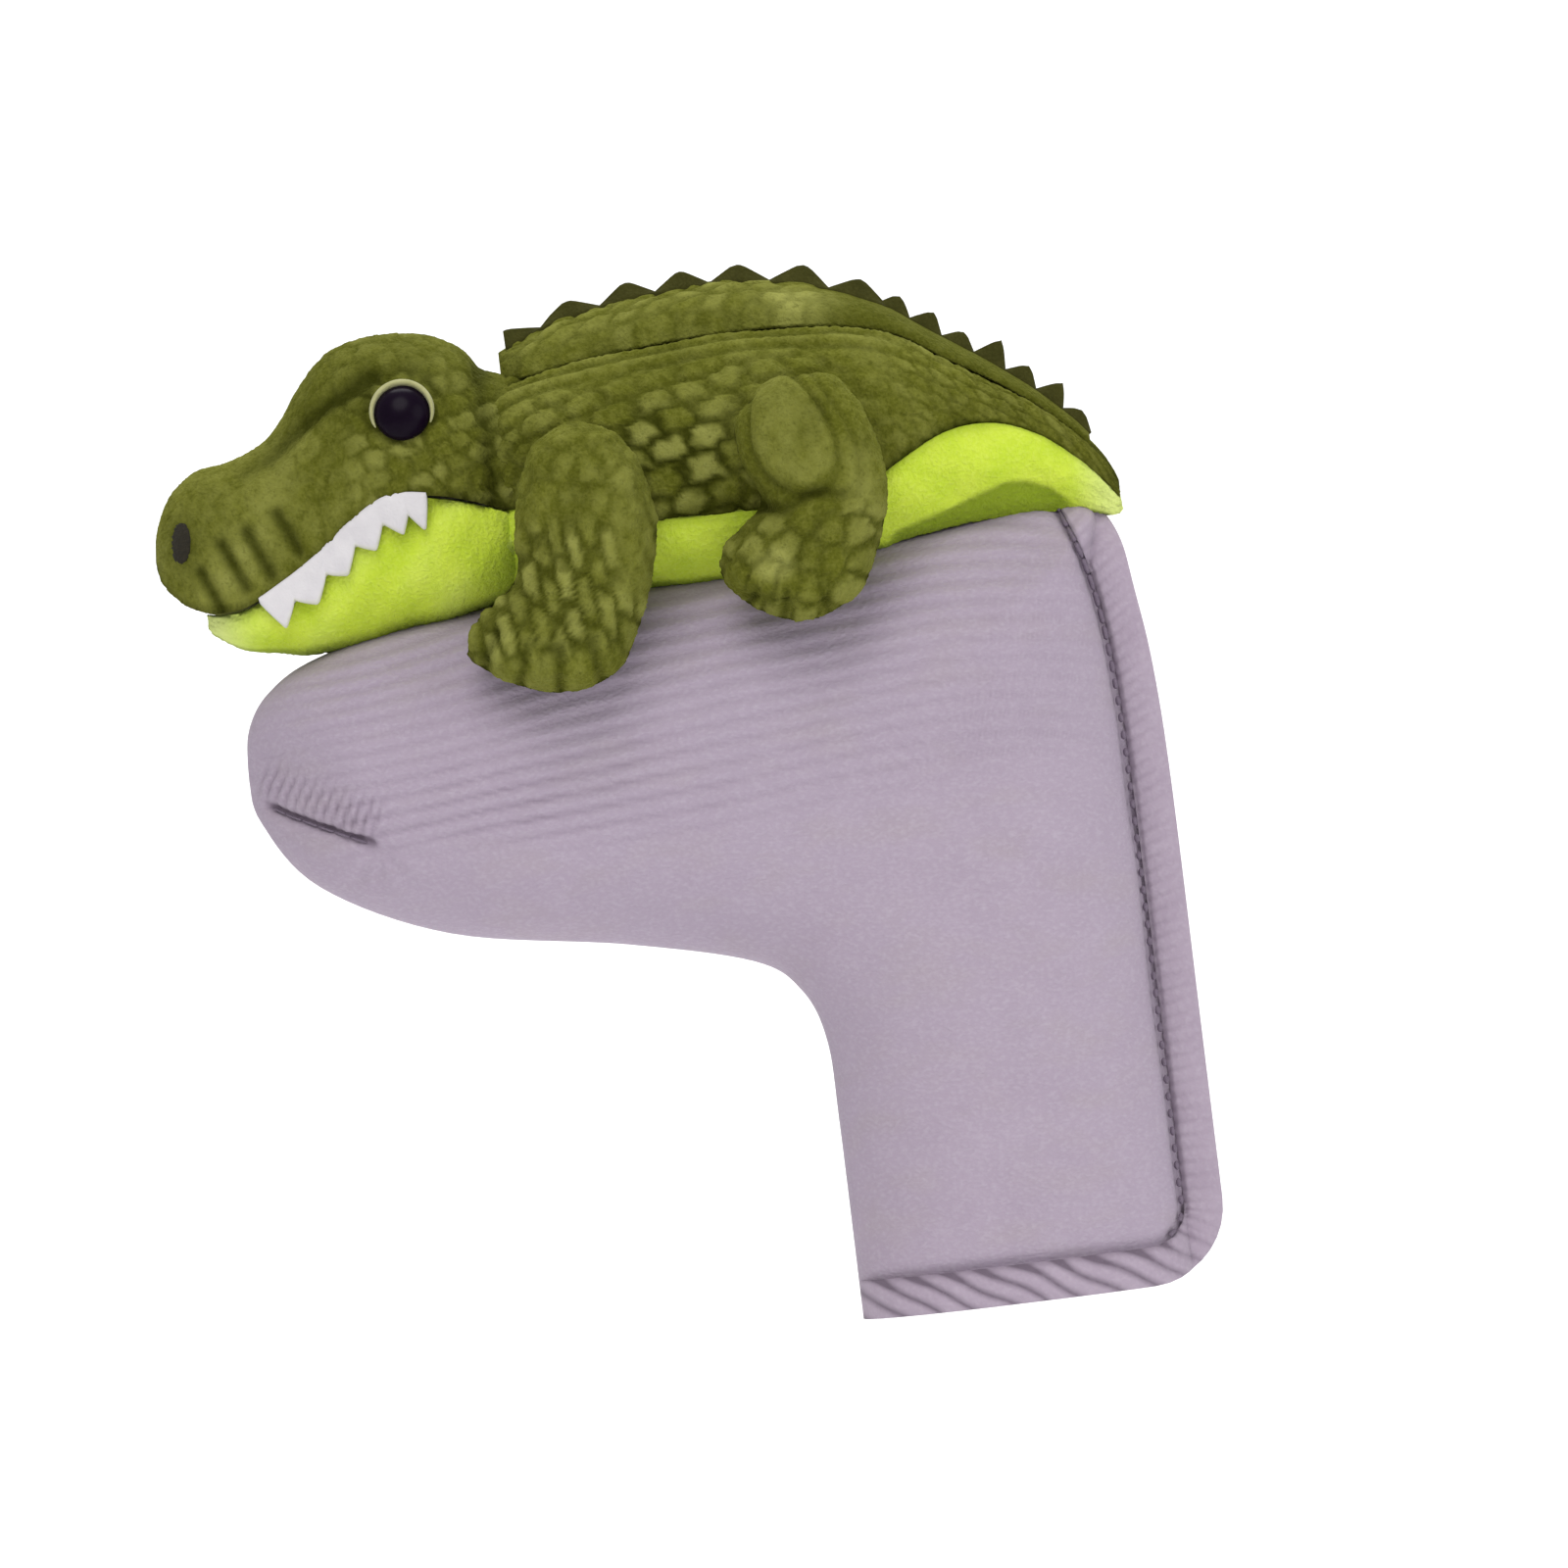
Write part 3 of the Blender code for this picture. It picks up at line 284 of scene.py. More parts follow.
def from_line(path, places, turn=1):
    """Distance of flat places from a line, whether they lie inside it, and the way in."""
    flat = places.reshape(-1, 2)
    start, run = path[:-1], np.diff(path, axis=0)
    inwards = turn * np.stack([run[:, 1], -run[:, 0]], axis=1)
    inwards /= np.linalg.norm(inwards, axis=1)[:, None]
    best = np.full(len(flat), 1e9)
    inside, way = np.zeros(len(flat), bool), np.zeros((len(flat), 2))
    for a, step, normal in zip(start, run, inwards):
        share = np.clip((flat - a) @ step / (step @ step), 0, 1)
        away = flat - a - share[:, None] * step
        distance = np.linalg.norm(away, axis=1)
        closer = distance < best - 1e-9
        best[closer] = distance[closer]
        inside[closer] = (away @ normal)[closer] > -1e-6
        way[closer] = normal
    shape = places.shape[:-1]
    return best.reshape(shape), inside.reshape(shape), way.reshape(*shape, 2)


def ease(t):
    t = np.clip(t, 0.0, 1.0)
    return t * t * (3 - 2 * t)


def quarter_round(t):
    return np.sqrt(np.clip(1 - (1 - np.clip(t, 0, 1)) ** 2, 0, 1))


top_edge = curve(
    [
        (TOE, TOP - 30.0),
        (TOE + 1.1, TOP - 22.5),
        (TOE + 5.2, TOP - 16.6),
        (TOE + 14.0, TOP - 11.8),
        (TOE + 34.0, TOP - 7.4),
        (TOE + 72.0, TOP - 5.6),
        (RIGHT - 43.0, TOP - 3.4),
        (RIGHT - 12.7, TOP),
    ]
)
slit_edge = curve(
    [
        (RIGHT - 12.7, TOP),
        (RIGHT - 6.8, TOP - 2.4),
        (RIGHT - 3.6, TOP - 8.0),
        (RIGHT - 2.2, TOP - 17.0),
        (RIGHT - 0.7, TOP - 30.0),
        (RIGHT, TOP - 50.0),
        (RIGHT, 40.0),
        (RIGHT, 0.0),
    ]
)
sole_edge = curve(
    [
        (TOE, 103.0),
        (TOE + 1.2, 95.0),
        (TOE + 9.8, 82.9),
        (TOE + 30.5, 72.6),
        (TOE + 59.5, 67.2),
        (LEFT - 11.0, 61.8),
        (LEFT - 3.6, 56.0),
        (LEFT - 0.4, 47.2),
        (LEFT, 33.2),
        (LEFT, 0.0),
    ]
)
slit_line = np.vstack([slit_edge, slit_edge[-1] - (0.0, 60.0)])
sole_line = np.vstack([sole_edge, sole_edge[-1] - (0.0, 60.0)])


def sleeve_form(flat, inset=0.0):
    """Places on the near panel's puffed face, or inset below it, over flat (x, z) places."""
    x, z = flat[..., 0], flat[..., 1]
    edges = []
    for path, turn in ((top_edge, 1), (sole_line, -1), (slit_line, 1)):
        distance, inside, way = from_line(path, flat, turn)
        edges.append((np.where(inside, distance, 0.0), way))
    (top, _), (sole, _), (slit, slit_way) = edges
    hemmed = ease((TOP - z) / (2 * HEM_WIDTH))
    slit = np.maximum(slit - HEM_WIDTH * hemmed, 0.0)
    edges[2] = (slit, slit_way)
    flange = FLANGE * hemmed
    full = MOUTH_THICKNESS + (FOOT_THICKNESS - MOUTH_THICKNESS) * ease(z / 67.2)
    depth = flange + (full / 2 - inset - flange) * quarter_round(slit / EDGE_ROUND)
    depth = depth * quarter_round(top / EDGE_ROUND) * quarter_round(sole / EDGE_ROUND)
    moved = np.stack([x, z], axis=-1)
    for distance, way in edges:
        moved = moved + way * (inset * np.clip(1 - distance / EDGE_ROUND, 0, 1))[..., None]
    return np.stack([moved[..., 0], -np.maximum(depth, 0.1), moved[..., 1]], axis=-1)


def outward(grid):
    """Unit normals of a grid of points."""
    down = np.gradient(grid, axis=0)
    across = np.gradient(grid, axis=1)
    normal = np.cross(down, across)
    return normal / np.maximum(np.linalg.norm(normal, axis=-1, keepdims=True), 1e-9)


def wander(a, b, size, seed=0.0):
    """A smooth wave field from about -1 to 1, with swells about size across."""
    a, b = a / size, b / size
    first = np.sin(1.9 * a + 0.7 * b + seed) * np.cos(1.3 * b - 0.6 * a + 2.1 * seed)
    return first * 0.65 + 0.35 * np.sin(3.7 * a - 2.9 * b + 1.7 * seed)


def close_to(distance, width):
    """1 where the distance is 0, falling smoothly away over about width."""
    return np.exp(-((distance / width) ** 2))


def patch(across, up):
    """1 in the middle of an oval patch, falling smoothly away past a share of 1 either way."""
    return np.exp(-(across**2 + up**2))


def crease(anchors, flat, width):
    """1 along a line drawn through the anchors, falling to 0 at about width from it."""
    return close_to(from_line(np.array(anchors, float), flat)[0], width)


def cloth_object(name, points, faces, look, marks):
    """A mesh object with its faces turned outwards and its marks stored on its points."""
    mesh = bpy.data.meshes.new(name)
    mesh.from_pydata((points * MM).tolist(), [], faces)
    mesh.update()
    for key, values in (marks or {}).items():
        stored = mesh.attributes.new(key, "FLOAT", "POINT")
        filled = np.zeros(len(points), np.float32)
        filled[: values.size] = values.ravel()
        stored.data.foreach_set("value", filled)
    mesh.calc_loop_triangles()
    corners = np.zeros(3 * len(mesh.loop_triangles), int)
    mesh.loop_triangles.foreach_get("vertices", corners)
    a, b, c = points[corners.reshape(-1, 3)].transpose(1, 0, 2)
    if (a * np.cross(b, c)).sum() < 0:
        mesh.flip_normals()
    mesh.shade_smooth()
    mesh.materials.append(look)
    made = bpy.data.objects.new(name, mesh)
    bpy.context.scene.collection.objects.link(made)
    return made


def squares(index):
    a, b, c, d = index[:-1, :-1], index[:-1, 1:], index[1:, 1:], index[1:, :-1]
    return np.stack([a, b, c, d], axis=-1).reshape(-1, 4)


def two_skins(name, outside, inside, look, marks=None):
    """A closed piece: an outer skin, an inner one with fewer points, and the rim between."""
    points = np.vstack([outside.reshape(-1, 3), inside.reshape(-1, 3)])
    fine = np.arange(outside.shape[0] * outside.shape[1]).reshape(outside.shape[:2])
    coarse = fine.size + np.arange(inside.shape[0] * inside.shape[1]).reshape(inside.shape[:2])
    faces = squares(fine).tolist() + squares(coarse)[:, ::-1].tolist()
    down = (fine.shape[0] - 1) // (coarse.shape[0] - 1)
    across = (fine.shape[1] - 1) // (coarse.shape[1] - 1)
    sides = (
        (fine[0], coarse[0], across, False),
        (fine[-1], coarse[-1], across, True),
        (fine[:, 0], coarse[:, 0], down, True),
        (fine[:, -1], coarse[:, -1], down, False),
    )
    for edge, under, step, forward in sides:
        for k in range(len(under) - 1):
            face = [*edge[step * k : step * (k + 1) + 1], under[k + 1], under[k]]
            faces.append([int(v) for v in (face if forward else face[::-1])])
    return cloth_object(name, points, faces, look, marks)


lilac = Finish(
    "lilac_knit", Roughness=0.95, Specular_IOR_Level=0.2, Sheen_Weight=0.06, Sheen_Roughness=0.45
)
lilac_base = lilac.mix(lilac.noise(7.0, 3.0), (0.322, 0.262, 0.335), (0.400, 0.336, 0.412))
lilac_base = lilac.mix(lilac.noise(28.0, 2.0), lilac_base, (0.355, 0.298, 0.374))
loop_noise = lilac.noise(0.9, 1.0, (1.0, 1.0, 1.6))
streaks = (lilac.noise(13.0, 2.0, (1.0, 1.0, 2.2)) - 0.50).clipped()
lilac_base = lilac.mix(streaks * 1.4, lilac_base, (0.350, 0.300, 0.322))
lilac_base = lilac.mix((loop_noise - 0.45).clipped() * 0.9, lilac_base, (0.48, 0.43, 0.50))
# This mark paints the knit dark in its hollows: painted shade in the rib grooves, the pucker hollows, the
# hem's valley and the dent of the toe dart.
lilac_base = lilac.mix(lilac.mark("grooves_and_shade").clipped() * 0.85, lilac_base, (0.16, 0.12, 0.165))
lilac.paint(lilac_base, height=loop_noise, relief=0.35, strength=0.55)

# Rows of the panel run from its outer edge, which is the top seam and then the hem, to the sole.
hem_corner = np.array([RIGHT - MOUTH_CORNER, MOUTH_CORNER])
corner_turn = np.radians(np.arange(0, -91, -10))
round_corner = np.stack([np.cos(corner_turn), np.sin(corner_turn)], axis=1)
hem_down = curve(
    [
        (RIGHT - 13.6, TOP - 0.5),
        (RIGHT - 12.4, TOP - 3.5),
        (RIGHT - 9.6, TOP - 11.8),
        (RIGHT - 7.7, TOP - 22.1),
        (RIGHT - 6.7, TOP - 37.0),
        (RIGHT - HEM_WIDTH, TOP - 55.0),
        (RIGHT - HEM_WIDTH, 40.0),
        (RIGHT - HEM_WIDTH, MOUTH_CORNER + 2.0),
    ]
)


def hem_inset(width):
    """The line that lies width inside the cover's edge, down the slit and round the corner."""
    outwards = (HEM_WIDTH - width) * ease((TOP + 0.5 - hem_down[:, 1]) / 5.0)
    arc = hem_corner + (MOUTH_CORNER - width) * round_corner
    return np.vstack([hem_down + outwards[:, None] * (1.0, 0.0), arc])


TUCK = 1.3
hem_line = hem_inset(HEM_WIDTH)
hem_arc = hem_line[-len(round_corner) :]
tuck_line = hem_inset(HEM_WIDTH - TUCK)
mouth_line = np.array([[hem_arc[-1][0], HEM_WIDTH], [LEFT, HEM_WIDTH]])

FOOT_ROWS, LEG_ROWS, PANEL_COLUMNS = 226, 150, 109
foot_share = np.linspace(0.012, 1, FOOT_ROWS)
leg_share = np.linspace(0, 1, LEG_ROWS + 1)[1:]
above_mouth = sole_edge[sole_edge[:, 1] >= HEM_WIDTH - TUCK]
crotch = 0.68
foot_top = np.vstack([top_edge[top_edge[:, 0] < tuck_line[0, 0] - 0.5], tuck_line[:1]])
outer_line = np.vstack([along(foot_top, foot_share), along(tuck_line, leg_share)])
inner_shares = np.concatenate([crotch * foot_share, crotch + (1 - crotch) * leg_share])
sole_to_mouth = np.vstack([above_mouth, [LEFT, HEM_WIDTH - TUCK]])
inner_line = along(sole_to_mouth, inner_shares)
spread = (1 - np.cos(np.pi * np.linspace(0, 1, PANEL_COLUMNS))) / 2
spread = 0.55 * spread + 0.45 * np.linspace(0, 1, PANEL_COLUMNS)
panel_flat = outer_line[:, None] + (inner_line - outer_line)[:, None] * spread[:, None]

panel_form = sleeve_form(panel_flat)
px, pz = panel_flat[..., 0], panel_flat[..., 1]
rib_datum = 89.1 + 0.079 * (px + 102.6) - 0.006 * np.maximum(px + 10, 0) ** 2
rib_pitch = 2.7 + 0.5 * ease((px + 103) / 53)
rib_wave = (pz - rib_datum) / rib_pitch + 0.09 * wander(px, pz, 17.0, 0.4)
fade_line = np.interp(px, [-125, -102, -51, 21], [86, 85, 80, 88])
ribbed = ease((pz - fade_line) / 7.0) * (0.35 + 0.65 * ease((px + 116) / 12))
ribbed *= 1 - 0.75 * ease((px - 12) / 12)
ribs = np.cos(2 * np.pi * rib_wave)

DART = [(-119.0, 97.3), (-115.6, 95.3), (-109.7, 92.4), (-102.6, 89.1)]
dart = crease(DART, panel_flat, 0.75)
dart_side = (pz - np.interp(px, [-122, -102.6], [99.2, 89.1])) * 0.89
along_dart = (px + 122.0) * 0.89 - (pz - 99.2) * 0.45
near_dart = ease((along_dart + 1) / 3) * ease((24 - along_dart) / 5)
puckers = np.cos(2 * np.pi * along_dart / 1.7) * near_dart * close_to(dart_side - 3.4, 3.2)
above_dart = near_dart * close_to(dart_side - 2.6, 2.2)
below_dart = near_dart * close_to(dart_side + 3.0, 2.6)
fan_from = np.hypot(px + 101.5, pz - 88.5)
fan = np.cos(9.5 * np.arctan2(pz - 88.5, px + 101.5)) * close_to(fan_from - 5.0, 4.0)

low_ribs = patch((px + 74.0) / 26.0, (pz - rib_datum - 1.5) / 8.0)
rib_groove_shade = 0.24 + 0.44 * low_ribs
seam_gap = np.minimum(from_line(top_edge, panel_flat)[0], from_line(sole_edge, panel_flat)[0])
hem_valley = close_to(from_line(np.vstack([hem_line, mouth_line]), panel_flat)[0], 1.3)
hem_valley_shade = 0.18 + 0.30 * ease((pz - 108) / 14)
leg_folds = wander(px, pz, 16.0, 1.3) * 0.35 * ease((100 - pz) / 30)
steady = ease(seam_gap / 3.0)
rise = (0.19 + 0.12 * low_ribs) * ribs * ribbed
rise = rise + 0.34 * puckers + 0.5 * above_dart + 0.3 * below_dart - 1.5 * dart
rise += 0.2 * fan * (1 - ribbed * 0.3) - 0.9 * hem_valley + leg_folds
rise = rise * steady
# Painted shade: the rib grooves darken most on the low ribs. The pucker hollows and the hem's valley darken
# too, the valley more towards the top, and so does the dart's dent.
panel_marks = {
    "grooves_and_shade": rib_groove_shade * ribbed * np.clip(-ribs, 0, 1) ** 2 * (0.75 + 0.25 * wander(px, pz, 6.0, 2.0))
    + 0.9 * dart + 0.55 * np.clip(-puckers, 0, 1) + hem_valley_shade * hem_valley
}
panel_normal = outward(panel_form)
panel_outside = panel_form + panel_normal * np.sign(panel_normal[..., 1:2]) * -rise[..., None]
panel_inside = sleeve_form(panel_flat[::3, ::3], PADDING)


def open_with_lip(piece):
    """Bakes a piece of the sleeve's placement into its mesh."""
    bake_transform(piece)


def mirrored(grid, side):
    """The near side's shape, or its mirror image for the far side."""
    return grid * np.array([1.0, 1.0 if side == NEAR else -1.0, 1.0])


for side_name, side in SIDES:
    panel = two_skins(
        f"sleeve_panel_{side_name}",
        mirrored(panel_outside, side),
        mirrored(panel_inside, side),
        lilac.look,
        panel_marks,
    )
    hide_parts(*[f"{n}_{side_name}" for n in ("outer_shell", "foam_pad", "lip_shell", "lip_foam")])
    open_with_lip(panel)

# --- Lining ------------------------------------------------------------------------------------
# A smooth grey-mauve tricot lining, cut like the panels and sewn in at the top, sole and mouth. It
# lies against the foam and shows only inside the mouth and the open slit.

lining_cloth = Finish("lining_tricot", Roughness=0.8, Sheen_Weight=0.1)
weave = lining_cloth.noise(0.7, 1.0, (1.0, 1.0, 3.0))
lining_tone = lining_cloth.mix(lining_cloth.noise(9.0), (0.26, 0.225, 0.275), (0.33, 0.29, 0.345))
lining_tone = lining_cloth.mix(weave * 0.4, lining_tone, (0.42, 0.38, 0.43))
lining_cloth.paint(lining_tone, height=weave, relief=0.2, strength=0.5)

lining_rows = panel_flat[::3, ::3]
to_mouth = ease((HEM_WIDTH + 6.0 - lining_rows[..., 1]) / 6.0) * 5.0
lining_rows = lining_rows - np.stack([np.zeros_like(to_mouth), to_mouth], axis=-1)
lining_out = sleeve_form(lining_rows, PADDING + 0.4)
lining_in = sleeve_form(lining_rows, PADDING + 1.1)
for side_name, side in SIDES:
    sheet = two_skins(
        f"lining_{side_name}_sheet",
        mirrored(lining_out, side),
        mirrored(lining_in, side),
        lining_cloth.look,
    )
    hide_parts(f"lining_{side_name}", f"lip_lining_{side_name}")
    open_with_lip(sheet)

# --- Hems --------------------------------------------------------------------------------------
# The knit is turned over along the slit and round the mouth and stitched down. Along the slit the
# hem is a flat smooth band. Round the mouth it is bulkier and puckers into slanting folds.

SLIT_ROWS, CORNER_ROWS, MOUTH_ROWS = 300, 60, 120
BAND_COLUMNS = 25
HEM_PROUD = 0.5
PUCKER_PITCH = 4.4

outer_arc = hem_corner + MOUTH_CORNER * round_corner
slit_part = slit_edge[slit_edge[:, 1] > MOUTH_CORNER + 1]
hem_edge = np.vstack([slit_part, outer_arc, [LEFT, 0.0]])
hem_seam = np.vstack([hem_line, [LEFT, HEM_WIDTH]])


def matched(path, marks, count):
    """A line's places, shared out between marks so that two lines keep in step."""
    pieces = []
    for k, (first, last) in enumerate(zip(marks, marks[1:])):
        shares = np.linspace(0, 1, count[k] + 1)[(1 if k else 0) :]
        pieces.append(along(path[first : last + 1], shares))
    return np.vstack(pieces)


steps = (SLIT_ROWS, CORNER_ROWS, MOUTH_ROWS)
slit_end = len(slit_part)
edge_places = matched(hem_edge, (0, slit_end, slit_end + 9, len(hem_edge) - 1), steps)
line_end = len(hem_line) - len(hem_arc)
seam_places = matched(hem_seam, (0, line_end, line_end + 9, len(hem_seam) - 1), steps)
across = np.linspace(0, 1, BAND_COLUMNS)
band_flat = edge_places[:, None] + (seam_places - edge_places)[:, None] * across[:, None]
band_form = sleeve_form(band_flat)
bx, bz = band_flat[..., 0], band_flat[..., 1]
in_mouth = np.zeros(len(edge_places))
in_mouth[SLIT_ROWS:] = ease(np.arange(len(edge_places) - SLIT_ROWS) / 70.0)
in_mouth = in_mouth[:, None]
top_start = ease(np.arange(len(edge_places)) / 9.0)[:, None]
run_length = lengths_along(edge_places)[:, None]
slanted = (0.72 * bx + 1.15 * bz + 0.8 * wander(bx, bz, 9.0, 0.3)) / PUCKER_PITCH
folds = np.abs(np.sin(np.pi * slanted)) ** 0.8
fine_puckers = np.cos(2 * np.pi * run_length / 2.3 + 0.6 * across)
crown = np.sin(np.pi * np.clip(across * 1.04, 0, 1))[None] ** 0.7
band_rise = HEM_PROUD * top_start + (0.35 + 0.55 * in_mouth) * crown * top_start
band_rise += 0.85 * in_mouth * (folds - 0.45) * (0.4 + 0.6 * crown)
band_rise += 0.10 * fine_puckers * across * (1 - in_mouth) * top_start
band_rise -= 0.5 * ease((across - 0.86) / 0.14)[None] * np.ones_like(band_rise)
thick = 2.0 + 1.9 * in_mouth
to_left = ease((bx - LEFT) / 6.0)
band_outside = band_form.copy()
band_outside[..., 1] -= band_rise * to_left + 0.05
band_inside = band_outside.copy()
half_gap = 0.12 + 0.2 * in_mouth * ease((bx - LEFT) / 4.0)
band_inside[..., 1] = np.minimum(band_outside[..., 1] + thick, -half_gap)
# The hem's marks are painted shade: in the valleys between the folds round the mouth and towards the band's
# inner side there, along the inner edge where the band dips to the panel, and in the hollows of the small
# puckers down the slit.
band_marks = {
    "grooves_and_shade": 0.95 * in_mouth * np.clip(1 - 1.15 * folds, 0, 1)
    + 0.30 * ease((across - 0.88) / 0.12)[None]
    + 0.9 * in_mouth * ease((across - 0.62) / 0.3) * np.clip(1 - 0.95 * folds, 0, 1)
    + 0.26 * np.clip(-fine_puckers, 0, 1) * across * (1 - in_mouth)
}

hem_cloth = Finish("hem_knit", Roughness=0.95, Specular_IOR_Level=0.2, Sheen_Weight=0.06)
hem_loops = hem_cloth.noise(0.8, 1.0)
hem_tone = hem_cloth.mix(hem_cloth.noise(6.0, 3.0), (0.325, 0.264, 0.335), (0.40, 0.335, 0.41))
hem_tone = hem_cloth.mix((hem_loops - 0.45).clipped() * 0.8, hem_tone, (0.49, 0.43, 0.50))
# Painted shade in the hem's folds, along its inner edge and in its puckers.
hem_tone = hem_cloth.mix(hem_cloth.mark("grooves_and_shade").clipped() * 0.9, hem_tone, (0.13, 0.10, 0.135))
hem_cloth.paint(hem_tone, height=hem_loops, relief=0.3, strength=0.5)

for side_name, side in SIDES:
    band = two_skins(
        f"hem_band_{side_name}",
        mirrored(band_outside, side),
        mirrored(band_inside[::4, ::4], side),
        hem_cloth.look,
        band_marks,
    )
    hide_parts(f"lip_hem_{side_name}", f"mouth_hem_{side_name}")
    open_with_lip(band)

# --- Stitching ---------------------------------------------------------------------------------
# A row of dark purple lockstitch holds the hem down from the slit's top to the mouth's corner. It
# reads as a line near the top and as separate stitches further down. Another row closes the toe
# dart.

STITCH_PITCH = 2.9
STITCH_RADIUS, DART_STITCH_RADIUS = 0.46, 0.26
STITCH_SPANS, STITCH_AROUND = 8, 8

thread = Finish("stitching_thread", Roughness=0.7)
twist = thread.noise(0.5, 1.0, (3.0, 1.0, 1.0))
thread_tone = thread.mix(twist, (0.095, 0.070, 0.105), (0.18, 0.14, 0.19))
thread.paint(thread_tone, height=twist, relief=0.1)


def stitches(name, line, lengths, rise, side, size=STITCH_RADIUS):
    """Short plump stitches along a flat line, each sunk a little at both ends."""
    run = lengths_along(line)
    points, faces = [], []
    place = 0.8
    while place < run[-1] - 0.8:
        long = lengths(place / run[-1])
        shares = np.linspace(0, 1, STITCH_SPANS + 1)
        wants = place + long * (shares - 0.5)
        flat = np.stack([np.interp(wants, run, line[:, k]) for k in (0, 1)], axis=-1)
        spine = sleeve_form(flat)
        spine[:, 1] -= rise - 0.35 * (2 * shares - 1) ** 4
        spine = mirrored(spine, side)
        step = np.gradient(spine, axis=0)
        step /= np.linalg.norm(step, axis=1)[:, None]
        up_way = np.cross(step, [0.0, 1.0, 0.0])
        out_way = np.cross(step, up_way)
        radius = size * np.sqrt(np.clip(1 - (2 * shares - 1) ** 6, 0, 1))
        base = len(points)
        points.append(spine[0])
        for k in range(1, STITCH_SPANS):
            for a in np.radians(np.arange(0, 360, 360 / STITCH_AROUND)):
                points.append(spine[k] + radius[k] * (np.cos(a) * up_way[k] + np.sin(a) * out_way[k]))
        points.append(spine[-1])
        last = len(points) - 1
        for j in range(STITCH_AROUND):
            after = (j + 1) % STITCH_AROUND
            faces.append([base, base + 1 + after, base + 1 + j])
            for k in range(STITCH_SPANS - 2):
                ring = base + 1 + STITCH_AROUND * k
                next_ring = ring + STITCH_AROUND
                faces.append([ring + j, ring + after, next_ring + after, next_ring + j])
            faces.append([last - STITCH_AROUND + j, last - STITCH_AROUND + after, last])
        place += STITCH_PITCH
    return cloth_object(name, np.array(points), faces, thread.look, None)


stitch_line = hem_inset(HEM_WIDTH + 0.5)[:-2]
for side_name, side in SIDES:
    row = stitches(
        f"hem_stitches_{side_name}",
        stitch_line,
        lambda share: 3.1 - 1.6 * float(ease((share - 0.12) / 0.2)),
        0.1,
        side,
    )
    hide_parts(f"hem_thread_{side_name}")
    open_with_lip(row)

    dart_row = stitches(
        f"toe_dart_stitches_{side_name}",
        along(np.array(DART), np.linspace(0.04, 1, 12)),
        lambda share: 3.2,
        -0.45,
        side,
        DART_STITCH_RADIUS,
    )
    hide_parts(f"toe_dart_thread_{side_name}")
    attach(dart_row, "sleeve")

# --- Closure -----------------------------------------------------------------------------------
# Hook tape inside the near lip and loop tape inside the far one hold the slit shut. Each has a
# knobbly face towards the other and a flat back.

tape_finish = Finish("hook_tape", Roughness=0.75)
tape_grain = tape_finish.noise(0.6, 1.0)
tape_tone = tape_finish.mix(tape_grain, (0.06, 0.055, 0.065), (0.13, 0.12, 0.14))
tape_finish.paint(tape_tone, height=tape_grain, relief=0.25)

for node, side_name, side, knobbly in (("hook_strip", "near", NEAR, 1.0), ("loop_strip", "far", FAR, 0.45)):
    tape_low, tape_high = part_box(node)
    rows = np.linspace(tape_low.z / MM, tape_high.z / MM, 187)
    columns = np.linspace(tape_low.x / MM, tape_high.x / MM, 17)
    tape_z, tape_x = np.meshgrid(rows, columns, indexing="ij")
    knobs = np.abs(np.sin(tape_z * 2.9) * np.sin(tape_x * 2.6 + 0.5))
    face_y = 0.20 + 0.28 * (1 - knobs * knobbly)
    inner_face = np.stack([tape_x, side * face_y, tape_z], axis=-1)
    back_face = np.stack([tape_x, np.full_like(tape_x, side * 1.12), tape_z], axis=-1)
    tape = two_skins(f"{node}_tape", inner_face, back_face[::2, ::2], tape_finish.look)
    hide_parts(node)
    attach(tape, f"lip_{side_name}")

# --- Alligator's back and belly ----------------------------------------------------------------
# The body is a stuffed tube sewn along the sleeve's top: olive plush over the back and sides,
# embossed with scales, and a lime panel underneath. It tapers into the tail, which curls down
# over the sleeve's corner.

PILE_RISE = 0.16
NECK_X, TAIL_ROOT_X = RIGHT - 104.0, RIGHT - 39.0


def graded(rows):
    """A smooth table from rows of (mm back from the right edge, half width, heights above TOP)."""
    table = np.array(rows, float)
    table[:, 0] = RIGHT - table[:, 0]
    table[:, 2:] += TOP
    return curve(table, 6)


def read_off(table, x):
    return [np.interp(x, table[:, 0], table[:, k]) for k in range(1, table.shape[1])]


def seat(x, y):
    """Height of the sleeve's rounded top, which the alligator lies on."""
    crest = np.vstack([top_edge, slit_edge[1:][slit_edge[1:, 1] > TOP - 12.0]])
    half_thick = np.interp(x, [0.0, RIGHT - 14.0, RIGHT], [FOOT_THICKNESS / 2, 7.0, 5.0])
    share = np.clip(np.abs(y) / half_thick, 0, 1)
    height = np.interp(x, crest[:, 0], crest[:, 1]) - EDGE_ROUND * (1 - np.sqrt(1 - share**2))
    return np.where(np.abs(y) < half_thick, height - 0.4, -1e9)


def chance(a, b, seed):
    """An even spread of numbers from 0 to 1, one for each whole a and b."""
    return np.abs(np.sin(a * 127.1 + b * 311.7 + seed * 74.7) * 43758.5453) % 1.0


